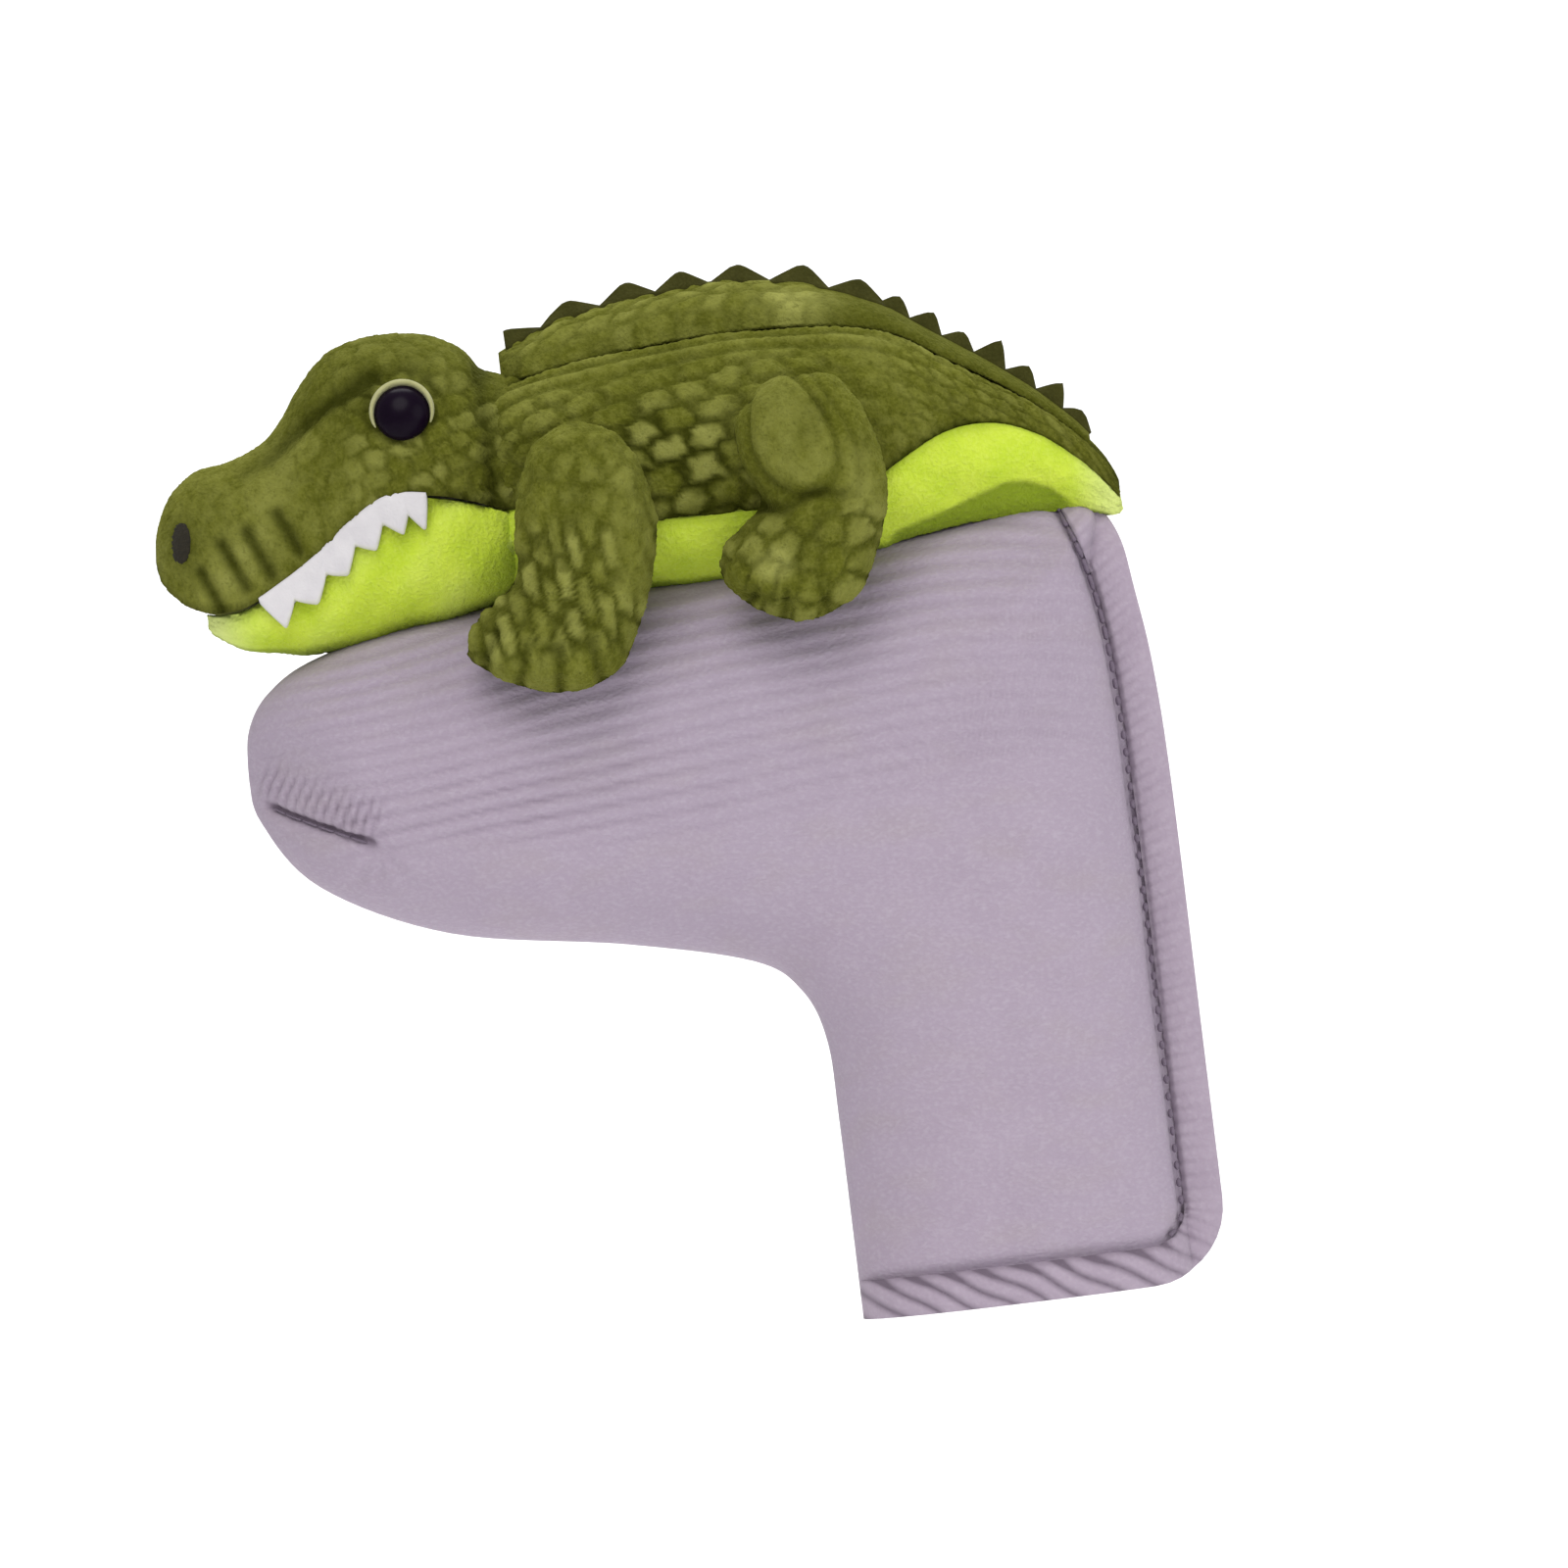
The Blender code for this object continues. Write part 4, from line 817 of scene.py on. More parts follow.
def scales(across, down, wide, tall, seed, loose=0.28):
    """Uneven rows of scales: distance to the nearest gap, and each scale's own tone."""
    ragged = 0.10 * wander(across, down, 1.9, seed) + 0.05 * wander(down, across, 0.9, seed)
    a, b = across / wide + ragged, down / tall + 0.8 * ragged
    column, row = np.floor(a), np.floor(b)
    nearest = np.full(a.shape, 1e9)
    second = np.full(a.shape, 1e9)
    tone = np.zeros(a.shape)
    for dr in (-1, 0, 1):
        for dc in (-2, -1, 0, 1, 2):
            i, j = column + dc, row + dr
            middle_a = i + 0.5 + 0.5 * (j % 2) + loose * (2 * chance(i, j, seed) - 1)
            middle_b = j + 0.5 + 0.6 * loose * (2 * chance(i, j, seed + 3.1) - 1)
            gap = (np.abs(a - middle_a) ** 3 + np.abs(b - middle_b) ** 3) ** (1 / 3) * (wide + tall) / 2
            closer = gap < nearest
            second = np.where(closer, nearest, np.minimum(second, gap))
            tone = np.where(closer, chance(i, j, seed + 7.7), tone)
            nearest = np.where(closer, gap, nearest)
    return second - nearest, tone


def emboss(grid, height, axis_line):
    """Moves points of a grid outwards from its middle by height."""
    normal = outward(grid)
    away = grid - axis_line
    facing = np.sign((normal * away).sum(axis=-1, keepdims=True))
    rows, columns = np.indices(height.shape)
    tufts = PILE_RISE * (2 * chance(rows, columns, 1.0) - 1)
    return grid + normal * facing * (height + tufts)[..., None]


body_table = graded(
    [
        (106.5, 13.0, 16.0, 28.2, -6.5),
        (105.2, 15.6, 16.0, 29.8, -6.8),
        (102.0, 18.2, 16.0, 31.4, -7.0),
        (91.0, 20.7, 15.0, 33.6, -8.5),
        (73.0, 22.0, 14.5, 35.2, -9.0),
        (55.0, 22.0, 15.0, 35.2, -9.0),
        (39.0, 18.5, 15.5, 33.0, -7.0),
        (29.0, 15.0, 14.5, 27.2, -5.5),
        (19.0, 11.5, 11.5, 20.4, -4.5),
        (11.0, 8.4, 7.8, 13.6, -4.0),
        (5.5, 5.6, 3.6, 7.4, -4.5),
        (3.2, 3.4, 0.6, 3.2, -4.4),
        (2.3, 1.5, -0.8, 0.6, -3.2),
    ]
)
body_table = body_table[np.argsort(body_table[:, 0])]
# Height of the seam between the olive and the lime plush along the body.
colour_seam = curve(
    [
        (-76.0, 142.6),
        (-62.0, 138.2),
        (-49.5, 136.4),
        (-34.6, 136.0),
        (-16.0, 136.4),
        (-9.9, 140.0),
        (-0.1, 145.3),
        (8.3, 146.2),
        (16.3, 143.2),
        (23.9, 136.9),
        (28.4, 131.4),
    ]
)


def body_form(x, degrees, inset=0.0):
    width, middle, back, belly = read_off(body_table, x)
    a = np.radians(degrees)
    rise = np.where(np.sin(a) > 0, back - middle, middle - belly)
    y = (width - inset) * np.cos(a)
    z = middle + np.maximum(rise - inset, 0.1) * np.sin(a)
    return np.stack([x, y, np.maximum(z, seat(x, y) + inset)], axis=-1)


def seam_angle(x):
    width, middle, back, belly = read_off(body_table, x)
    height = np.interp(x, colour_seam[:, 0], colour_seam[:, 1])
    rise = np.where(height > middle, back - middle, middle - belly)
    return np.degrees(np.arcsin(np.clip((height - middle) / rise, -0.92, 0.92)))


plush = Finish(
    "olive_plush", Roughness=0.97, Specular_IOR_Level=0.05, Sheen_Weight=0.16, Sheen_Roughness=0.5
)
plush.shader.inputs["Sheen Tint"].default_value = (0.50, 0.52, 0.10, 1.0)
pile = plush.noise(0.55, 2.0) * 0.55 + plush.noise(1.5, 2.0) * 0.45
olive = plush.mix(plush.noise(5.0, 3.0), (0.072, 0.078, 0.007), (0.130, 0.138, 0.016))
# The tuft mark lightens the lighter scales and tufts of the pile, and also paints highlights on fold
# crests, the tops of swells and the ridge. The groove mark darkens the scale gaps, and also paints shade in
# seams, creases, dips and sides hidden against other parts.
tufts = plush.mark("tufts_and_highlights") + (plush.noise(2.4, 2.0) - 0.5) * 0.7
olive = plush.mix(tufts.clipped(), olive, (0.285, 0.292, 0.075))
olive = plush.mix((pile - 0.47).clipped() * 2.2, olive, (0.20, 0.205, 0.038))
olive = plush.mix((0.47 - pile).clipped() * 2.4, olive, (0.045, 0.048, 0.002))
olive = plush.mix(plush.mark("grooves_and_shade").clipped() * 0.88, olive, (0.020, 0.023, 0.001))
plush.paint(olive, height=pile, relief=0.9, strength=0.75)

lime_plush = Finish(
    "lime_plush", Roughness=0.97, Specular_IOR_Level=0.1, Sheen_Weight=0.15, Sheen_Roughness=0.5
)
lime_plush.shader.inputs["Sheen Tint"].default_value = (0.8, 0.95, 0.35, 1.0)
lime_pile = lime_plush.noise(0.6, 2.0)
lime = lime_plush.mix(lime_plush.noise(5.5, 3.0), (0.42, 0.585, 0.022), (0.62, 0.74, 0.075))
lime = lime_plush.mix((lime_pile - 0.45).clipped() * 0.6, lime, (0.74, 0.82, 0.22))
# The pale mark is paler plush at the tail's tip and the jaw's tip, with painted highlights on the jaw's
# swells. The groove mark paints shade under the tail, along the jaw, under the throat roll, in dips and
# along seams.
lime = lime_plush.mix(lime_plush.mark("pale").clipped(), lime, (0.74, 0.80, 0.36))
lime = lime_plush.mix(lime_plush.mark("grooves_and_shade").clipped() * 0.8, lime, (0.11, 0.17, 0.004))
lime_plush.paint(lime, height=lime_pile, relief=0.6, strength=0.7)

SKIN = 1.6
BODY_ROWS, BACK_COLUMNS, BELLY_COLUMNS = 196, 151, 91

x_rows = np.linspace(NECK_X - 2.0, RIGHT - 2.6, BODY_ROWS)
seam = seam_angle(x_rows)[:, None]
back_shares = np.linspace(0, 1, BACK_COLUMNS)[None]
back_degrees = seam + (180.0 - 2 * seam) * back_shares
back_x = np.repeat(x_rows[:, None], BACK_COLUMNS, axis=1)
back_form = body_form(back_x, back_degrees)
bx, by, bz = back_form[..., 0], back_form[..., 1], back_form[..., 2]
half_width = read_off(body_table, bx)[0]
from_top = np.radians(np.abs(back_degrees - 90.0)) * half_width
edge_share = 1 - np.abs(2 * back_shares - 1) + 0 * bx

ridge_half = np.minimum(7.5, 0.48 * half_width)
# A crease along each edge of the ridge leaf: the surface is dented there and painted dark, as shade under
# the leaf.
ridge_crease_and_shade = close_to(np.abs(by) - ridge_half, 1.3) * (bz > read_off(body_table, bx)[1])
on_trunk = ease((TAIL_ROOT_X + 6.0 - bx) / 12.0)
flank_slant = bx * 0.97 - (from_top - 20.0) * 0.24
gap, tone = scales(flank_slant, from_top + 0.16 * bx, 6.8, 4.8, 1.0, loose=0.2)
flank = ease((from_top - 15.0) / 5.0) * on_trunk
flank_gap = close_to(gap, 1.5)
fine_gap, fine_tone = scales(bx * 0.9 - from_top * 0.5, from_top + 0.2 * bx, 3.4, 2.9, 5.0)
tail_part = 1 - on_trunk
fine_gap = close_to(fine_gap, 0.8)
fold_band = ease((from_top - 9.0) / 2.0) * ease((19.0 - from_top) / 4.0) * on_trunk
long_folds = np.cos(2 * np.pi * (from_top - 9.5 + 0.7 * wander(bx, from_top, 18.0)) / 4.4)
flank = flank * (1 - 0.7 * ease((bx + 22.0) / 14.0))
by_seam = close_to(edge_share, 0.035)
swell = wander(bx, from_top, 11.0, 2.2)
back_rise = 0.8 * flank * (ease(gap / 2.4) - 0.75) - 1.1 * ridge_crease_and_shade
back_rise += (
    0.45 * fold_band * long_folds
    + 0.30 * swell
    + 0.25 * tail_part * (ease(-np.log(fine_gap + 1e-6)) - 0.6)
)
back_rise -= 0.9 * by_seam
tail_fade = ease((RIGHT - 3.0 - bx) / 12.0)
back_rise *= tail_fade
spot_light = ease((tone - 0.25) / 0.5)
bold = 0.30 + 0.70 * np.exp(-(((bx + 45.0) / 13.0) ** 2 + ((bz - 147.0) / 9.0) ** 2) ** 2)
# Besides the scale gaps, the marks paint shade in the fold valleys, the dips of the swells and the dented
# seam to the belly. They also paint highlights on the fold crests and the tops of the swells, following the
# same waves that shape the surface.
back_marks = {
    "grooves_and_shade": flank * flank_gap * bold
    + 0.95 * ridge_crease_and_shade
    + 0.45 * fold_band * np.clip(-long_folds, 0, 1)
    + 0.30 * tail_part * fine_gap
    + 0.55 * by_seam
    + 0.25 * np.clip(-swell, 0, 1),
    "tufts_and_highlights": 0.8 * flank * (1 - flank_gap) * spot_light * bold
    + 0.22 * fold_band * np.clip(long_folds, 0, 1)
    + 0.30 * tail_part * (1 - fine_gap) * fine_tone
    + 0.22 * np.clip(swell, 0, 1),
}
body_axis = np.stack([back_x, 0 * back_x, read_off(body_table, back_x)[1] + 0 * back_x], axis=-1)
back_outside = emboss(back_form, back_rise, body_axis)
back_inside = body_form(back_x[::3, ::3], back_degrees[::3, ::3], SKIN)
back_skin = two_skins("back_skin", back_outside, back_inside, plush.look, back_marks)
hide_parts("torso_skin", "torso_stuffing", "tail_skin", "tail_stuffing")


def bend_at_tail(piece):
    """Bakes a piece of the body's plush into its mesh where it stands."""
    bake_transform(piece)


bend_at_tail(back_skin)

belly_shares = np.linspace(0, 1, BELLY_COLUMNS)[None]
belly_degrees = 180.0 - seam + (180.0 + 2 * seam) * belly_shares
belly_x = np.repeat(x_rows[:, None], BELLY_COLUMNS, axis=1)
belly_form = body_form(belly_x, belly_degrees, 0.25)
roll = 1.5 * close_to(np.minimum(belly_shares, 1 - belly_shares) - 0.10, 0.085)
roll = roll * (0.65 + 0.35 * wander(belly_x, 0 * belly_x, 16.0)) * ease((RIGHT - 4.0 - belly_x) / 8.0)
belly_swell = 0.35 * wander(belly_x, belly_shares * 60, 7.0, 1.1)
belly_rise = (roll + belly_swell) * ease(np.minimum(belly_shares, 1 - belly_shares) / 0.03)
# Under this arch, where the tail lifts off the sleeve, the belly tucks in and the tucked part is painted
# dark: painted shade under the tail.
TAIL_ARCH = [
    (-14.0, 127.0),
    (-11.4, 130.2),
    (0.0, 133.6),
    (9.3, 136.9),
    (13.0, 136.7),
    (16.9, 135.0),
    (21.0, 131.5),
    (24.0, 127.0),
]
arch_height = np.interp(belly_form[..., 0], *np.array(TAIL_ARCH).T)
arch_tuck_and_shade = ease((arch_height - belly_form[..., 2]) / 1.6) * ease((belly_form[..., 0] + 12.0) / 3.0)
arch_tuck_and_shade *= ease((22.0 - belly_form[..., 0]) / 4.0)
belly_rise = belly_rise * (1 - arch_tuck_and_shade) - 0.6 * arch_tuck_and_shade
# Painted shadow: the belly is darkened where it comes down to within a few millimetres of the sleeve.
sleeve_contact_shade = ease((seat(belly_form[..., 0], belly_form[..., 1]) + 3.2 - belly_form[..., 2]) / 2.2)
belly_axis = np.stack([belly_x, 0 * belly_x, read_off(body_table, belly_x)[1] + 3.0], axis=-1)
belly_outside = emboss(belly_form, belly_rise, belly_axis)
belly_edge = close_to(np.minimum(belly_shares, 1 - belly_shares), 0.022) + 0 * belly_x
# Painted shade along the belly's seam edges, under the tail's arch, where it nears the sleeve and in the
# dips of its swells.
belly_marks = {
    "grooves_and_shade": 0.45 * belly_edge
    + 0.9 * np.maximum(arch_tuck_and_shade, sleeve_contact_shade)
    + 0.25 * np.clip(-belly_swell, 0, 1),
    "pale": 0.55 * ease((belly_x - RIGHT + 12.0) / 9.0),
}
belly_inside = body_form(belly_x[::3, ::3], belly_degrees[::3, ::3], SKIN + 0.25)
belly = two_skins("belly_skin", belly_outside, belly_inside, lime_plush.look, belly_marks)
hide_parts("belly_panel", "tail_belly")
bend_at_tail(belly)

# --- Ridge -------------------------------------------------------------------------------------
# A padded leaf of the olive plush lies along the back and thins out down the tail. A row of dark
# felt points is caught in its middle seam.

ridge_table = np.array(
    [
        (106.0, 0.30),
        (104.0, 0.50),
        (93.0, 0.85),
        (80.0, 1.0),
        (62.0, 1.0),
        (51.0, 0.80),
        (42.0, 0.42),
        (34.0, 0.18),
        (20.0, 0.12),
        (5.0, 0.1),
    ]
)
RIDGE_HEIGHT = 6.3


def ridge_top(x):
    back = read_off(body_table, x)[2]
    return back + 0.7 + RIDGE_HEIGHT * np.interp(RIGHT - x, ridge_table[::-1, 0], ridge_table[::-1, 1])


RIDGE_ROWS, RIDGE_COLUMNS = 166, 61
ridge_rows = np.linspace(NECK_X + 0.8, RIGHT - 6.5, RIDGE_ROWS)
ridge_x = np.repeat(ridge_rows[:, None], RIDGE_COLUMNS, axis=1)
ridge_across = np.repeat(np.linspace(-1, 1, RIDGE_COLUMNS)[None], RIDGE_ROWS, axis=0)
body_half, middle, back_height, _ = read_off(body_table, ridge_x)
half = np.minimum(7.6, 0.5 * body_half) * ease((ridge_x - NECK_X + 1.5) / 7.0)
ridge_y = half * ridge_across
on_back = middle + (back_height - middle) * np.sqrt(1 - (ridge_y / body_half) ** 2)
dome = np.sqrt(np.clip(1 - ridge_across**2, 0, 1)) ** 0.9
lift = (ridge_top(ridge_x) - back_height) * dome
side_run = np.abs(ridge_across) * 10.0
gap, tone = scales(ridge_x + 0.9 * side_run, side_run, 5.2, 2.9, 11.0, loose=0.42)
ridge_gap = close_to(gap, 1.2)
main_leaf = ease((TAIL_ROOT_X - 2.0 - ridge_x) / 14.0)
lift += (0.55 * (ease(gap / 2.0) - 0.6) + 0.3 * wander(ridge_x, side_run, 8.0)) * main_leaf * dome
pale_end = close_to(ridge_x + 21.0, 6.0) * close_to(np.abs(ridge_across) - 0.75, 0.25)
# The main leaf is painted a little lighter all over: a painted highlight along the top of the back.
ridge_marks = {
    "grooves_and_shade": 0.30 * ridge_gap * main_leaf
    + 0.6 * ease((0.22 - np.abs(ridge_across)) / 0.2)
    + 0.45 * (1 - main_leaf),
    "tufts_and_highlights": 0.12 * main_leaf
    + 0.40 * (1 - ridge_gap) * ease((tone - 0.35) / 0.6) * main_leaf
    + 0.9 * pale_end,
}
ridge_outside = np.stack([ridge_x, ridge_y, on_back + lift], axis=-1)
ridge_inside = np.stack([ridge_x, ridge_y, on_back - 0.6], axis=-1)[::3, ::3]
ridge = two_skins("ridge_leaf", ridge_outside, ridge_inside, plush.look, ridge_marks)
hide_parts("ridge_strip", "tail_ridge")
bend_at_tail(ridge)

felt = Finish(
    "spike_felt", Roughness=0.97, Specular_IOR_Level=0.05, Sheen_Weight=0.05, Sheen_Roughness=0.5
)
felt_fibre = felt.noise(0.5, 3.0)
felt_tone = felt.mix(felt.noise(3.0, 3.0), (0.026, 0.026, 0.005), (0.058, 0.056, 0.012))
felt_tone = felt.mix((felt_fibre - 0.45).clipped() * 0.6, felt_tone, (0.10, 0.10, 0.028))
felt.paint(felt_tone, height=felt_fibre, relief=0.4, strength=0.6)


def felt_points(name, tips, heights, thick):
    """A row of points cut from one folded strip: broad at the foot and thin at the tip."""
    tips, heights = np.array(tips, float), np.array(heights, float)
    pitch = np.diff(tips).mean()
    first_valley = max(tips[0] - 0.5 * pitch, NECK_X + 2.2)
    between = (tips[1:] + tips[:-1]) / 2
    valleys = np.concatenate([[first_valley], between, [tips[-1] + 0.5 * pitch]])
    corners = np.empty(len(tips) + len(valleys))
    corners[0::2], corners[1::2] = valleys, tips
    tall = np.full(len(corners), 0.25)
    tall[1::2] = heights
    x = np.linspace(corners[0], corners[-1], 12 * len(tips) + 1)
    x[np.abs(x[:, None] - corners[None]).argmin(axis=0)] = corners
    peak = np.interp(x, corners, tall)
    peak = peak - 0.10 * heights.max() * close_to(np.abs(x[:, None] - tips[None]).min(axis=1), 0.5)
    rise = np.linspace(-1.2, 1, 13)[None]
    foot = ridge_top(x)
    slope = np.gradient(foot, x)
    height = np.where(rise < 0, rise, rise * peak[:, None])
    spread = thick / 2 * (1 - 0.72 * np.clip(height / heights.max(), 0, 1)) + 0 * height
    spread *= 1 - 0.35 * ease(rise) * np.ones_like(height)
    run = 1 / np.sqrt(1 + slope**2)
    sx, sz = x[:, None] - slope[:, None] * run[:, None] * height, foot[:, None] + run[:, None] * height
    wave = 0.35 * np.sin(x[:, None] * 0.9)
    near = np.stack([sx, wave - spread, sz], axis=-1)
    far = np.stack([sx, wave + spread, sz], axis=-1)
    return two_skins(name, near, far, felt.look)


back_points = felt_points(
    "back_points",
    [RIGHT - b for b in (100.8, 90.3, 80.3, 71.3, 61.9, 51.3, 42.6)],
    [3.2, 2.9, 3.0, 3.2, 3.0, 3.4, 3.4],
    3.0,
)
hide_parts("back_spikes")
tail_points = felt_points(
    "tail_points",
    [RIGHT - b for b in (36.6, 31.6, 26.6, 21.6, 16.8, 12.2, 8.6)],
    [3.0, 3.4, 2.8, 4.6, 3.2, 4.0, 2.4],
    2.4,
)
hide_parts("tail_spikes")
for piece, body in ((back_points, "sleeve"), (tail_points, "tail")):
    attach(piece, body)

# --- Head --------------------------------------------------------------------------------------
# A stuffed olive head with a long snout. Seams pinch in the brow and the creases across the
# snout. Its neck is sewn to the body.

FULLNESS = 0.86
BROW = [
    (-93.5, 166.8),
    (-98.0, 164.4),
    (-104.0, 161.2),
    (-108.5, 158.0),
    (-112.5, 155.0),
    (-117.0, 153.2),
]
# Each crease across the snout is (middle x, middle z, length).
SNOUT_CREASES = (
    (-124.4, 134.4, 7.0),
    (-120.0, 138.0, 8.5),
    (-115.6, 139.6, 8.5),
    (-110.4, 142.4, 7.5),
)
CREASE_WAY = np.array([0.4, -0.92])

head_table = graded(
    [
        (164.3, 0.4, 6.9, 7.3),
        (163.9, 3.4, 4.6, 10.9),
        (163.0, 6.0, 2.5, 13.9),
        (160.5, 9.3, -0.4, 18.4),
        (156.0, 11.7, -2.4, 21.6),
        (150.0, 12.7, -2.3, 22.6),
        (143.0, 12.9, 1.1, 26.0),
        (137.0, 14.0, 4.8, 33.6),
        (131.5, 16.1, 9.0, 38.6),
        (124.0, 18.4, 12.9, 40.4),
        (116.0, 19.2, 12.2, 39.8),
        (110.0, 18.8, 10.6, 37.0),
        (104.6, 17.3, 8.6, 32.6),
        (101.5, 15.8, 8.4, 30.0),
    ]
)
head_table = head_table[np.argsort(head_table[:, 0])]


def head_form(x, degrees):
    width, mouth, crown = read_off(head_table, x)
    a = np.radians(degrees)
    side = np.sign(np.cos(a)) * np.abs(np.cos(a)) ** FULLNESS
    up_share = np.clip(np.sin(a), 0, 1) ** FULLNESS
    return np.stack([x, width * side, mouth + (crown - mouth) * up_share], axis=-1)


def closed_rings(name, rings, look, marks=None):
    """A closed stuffed piece through rings of points, with its ends gathered shut."""
    count, around = rings.shape[:2]
    points = np.vstack([rings.reshape(-1, 3), rings[:1].mean(axis=1), rings[-1:].mean(axis=1)])
    index = np.arange(count * around).reshape(count, around)
    wrapped = np.hstack([index, index[:, :1]])
    faces = squares(wrapped).tolist()
    for k in range(around):
        after = (k + 1) % around
        faces.append([int(index[0, after]), int(index[0, k]), count * around])
        faces.append([int(index[-1, k]), int(index[-1, after]), count * around + 1])
    return cloth_object(name, points, faces, look, marks)


HEAD_ROWS, HEAD_AROUND, MOUTH_AROUND = 171, 141, 36
shares = np.linspace(0, 1, HEAD_ROWS)
head_x = head_table[0, 0] + (NECK_X + 2.2 - head_table[0, 0]) * shares**1.25
over = np.linspace(0, 180, HEAD_AROUND)[None] + 0 * head_x[:, None]
hx = np.repeat(head_x[:, None], HEAD_AROUND, axis=1)
head_top = head_form(hx, over)
hz = head_top[..., 2]
flat = np.stack([hx, hz], axis=-1)
brow = crease(BROW, flat, 1.6)
brow *= 0.45 + 0.55 * ease((hx + 118) / 10)
snout_creases = 0 * hx
for *place, long in SNOUT_CREASES:
    slant = CREASE_WAY * long / 2
    snout_creases = snout_creases + crease([place - slant, place + slant], flat, 1.15)
_, mouth_height, crown_height = read_off(head_table, hx)
lip_line = close_to(hz - mouth_height - 0.2, 0.9) * (np.abs(over - 90) > 45)
between_creases = patch((hx + 119.0) / 6.5, (hz - 138.0 - 0.45 * (hx + 119.0)) / 4.5)
between_creases *= 1 - snout_creases
nostril_pit = close_to(np.hypot((hx + 128.6) / 2.4, (hz - 142.8) / 4.2), 1.0)
eye_pinch = close_to(np.hypot(hx + 88.9, hz - 161.3) - 5.8, 1.3)
cheek = ease((hx + 103) / 9) * ease((mouth_height + 24.0 - hz) / 6)
gap, tone = scales(hx * 0.92 + 0.4 * hz, hz * 0.95 - 0.3 * hx, 3.9, 3.3, 21.0, loose=0.38)
cheek_gap = close_to(gap, 0.8)
crown_gap, crown_tone = scales(hx, np.radians(over) * 15.0, 4.4, 4.0, 31.0, loose=0.4)
crown_part = (1 - cheek) * ease((hx + 112) / 8)
crown_gap = close_to(crown_gap, 0.9)
at_neck = close_to(hx + 75.0, 1.7)
head_swell = wander(hx, hz, 9.0, 0.9)
head_rise = -1.1 * brow - 0.95 * snout_creases + 0.22 * head_swell - 0.35 * lip_line
head_rise += (
    0.5 * cheek * (ease(gap / 1.9) - 0.7)
    + 0.25 * crown_part * (1 - crown_gap)
    - at_neck
    - 0.35 * eye_pinch
)
head_rise *= ease((hx - head_table[0, 0]) / 3.0)
head_axis = np.stack([hx, 0 * hx, (mouth_height + crown_height) / 2], axis=-1)
head_outside = emboss(head_top, head_rise, head_axis)
under_share = np.linspace(0, 1, MOUTH_AROUND + 2)[1:-1][None]
first, last = head_outside[:, -1:], head_outside[:, :1]
head_under = first + (last - first) * under_share[..., None]
head_under[..., 2] += 0.5 * np.sin(np.pi * under_share) + 0.7 * np.sin(np.pi * under_share) ** 0.5
head_rings = np.concatenate([head_outside, head_under], axis=1)
on_snout = ease((-104 - hx) / 8)
# The head's underside faces the jaw inside the closed mouth and is painted fully dark: painted shade.
under_head_shade = np.ones(head_under.shape[:2])
# Painted shade in the dented brow seam, snout creases, mouth line, neck seam and pinch round the eyes,
# round the nostrils and in the dips of the swells. The head is also painted darker towards the crown, as
# shade along its top outline.
head_grooves_and_shade = (
    0.8 * brow
    + 0.85 * snout_creases
    + 0.7 * nostril_pit
    + 0.55 * lip_line
    + 0.38 * cheek * cheek_gap
    + 0.16 * crown_part * crown_gap
    + 0.6 * at_neck
    + 0.35 * eye_pinch
    + 0.2 * np.clip(-head_swell, 0, 1)
    + 0.22 * ease((hz - 156.0) / 10.0)
)
# Besides the lighter scales and snout, this paints highlights on the tops of the swells.
head_tufts_and_highlights = (
    0.55 * cheek * (1 - cheek_gap) * ease((tone - 0.35) / 0.5)
    + 0.25 * crown_part * crown_tone * (1 - crown_gap)
    + 0.18 * on_snout
    + 0.22 * np.clip(head_swell, 0, 1)
    + 0.4 * between_creases
)
head_marks = {
    "grooves_and_shade": np.hstack([head_grooves_and_shade, under_head_shade]),
    "tufts_and_highlights": np.hstack([head_tufts_and_highlights, 0 * under_head_shade]),
}
head = closed_rings("head_skin_plush", head_rings, plush.look, head_marks)
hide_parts("head_skin", "palate_panel", "head_stuffing")


def bend_at_neck(piece):
    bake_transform(piece)


bend_at_neck(head)

# --- Lower jaw ---------------------------------------------------------------------------------
# A soft cushion of lime plush, sewn under the mouth and resting on the sleeve. A small roll of the
# same plush closes the throat behind it.

jaw_table = graded(
    [
        (157.0, 2.0, -4.6),
        (155.9, 5.7, -6.2),
        (152.5, 9.1, -8.4),
        (145.0, 10.6, -10.6),
        (138.0, 11.4, -11.0),
        (127.0, 14.4, -10.2),
        (115.0, 16.8, -8.2),
        (107.0, 16.8, -6.0),
        (103.6, 15.0, -2.5),
    ]
)
jaw_table = jaw_table[np.argsort(jaw_table[:, 0])]
JAW_ROWS, JAW_AROUND = 112, 96
jaw_rows = np.linspace(jaw_table[0, 0] + 0.1, jaw_table[-1, 0] - 0.1, JAW_ROWS)
jaw_x = np.repeat(jaw_rows[:, None], JAW_AROUND, axis=1)
jaw_width, jaw_under = read_off(jaw_table, jaw_x)
roof = read_off(head_table, jaw_x)[1] - 0.5
jaw_angle = np.radians(np.linspace(0, 360, JAW_AROUND + 1)[:-1])[None] + 0 * jaw_x
jaw_y = jaw_width * np.sign(np.cos(jaw_angle)) * np.abs(np.cos(jaw_angle)) ** 0.8
jaw_side = np.sin(jaw_angle)
jaw_hang = (roof - jaw_under) * np.sign(jaw_side) * np.abs(jaw_side) ** 0.9
jaw_z = roof + np.where(jaw_side > 0, 0.25 * jaw_side, jaw_hang)
jaw_z = np.where(jaw_side > 0, jaw_z, np.maximum(jaw_z, seat(jaw_x, jaw_y)))
jaw_rings = np.stack([jaw_x, jaw_y, jaw_z], axis=-1)
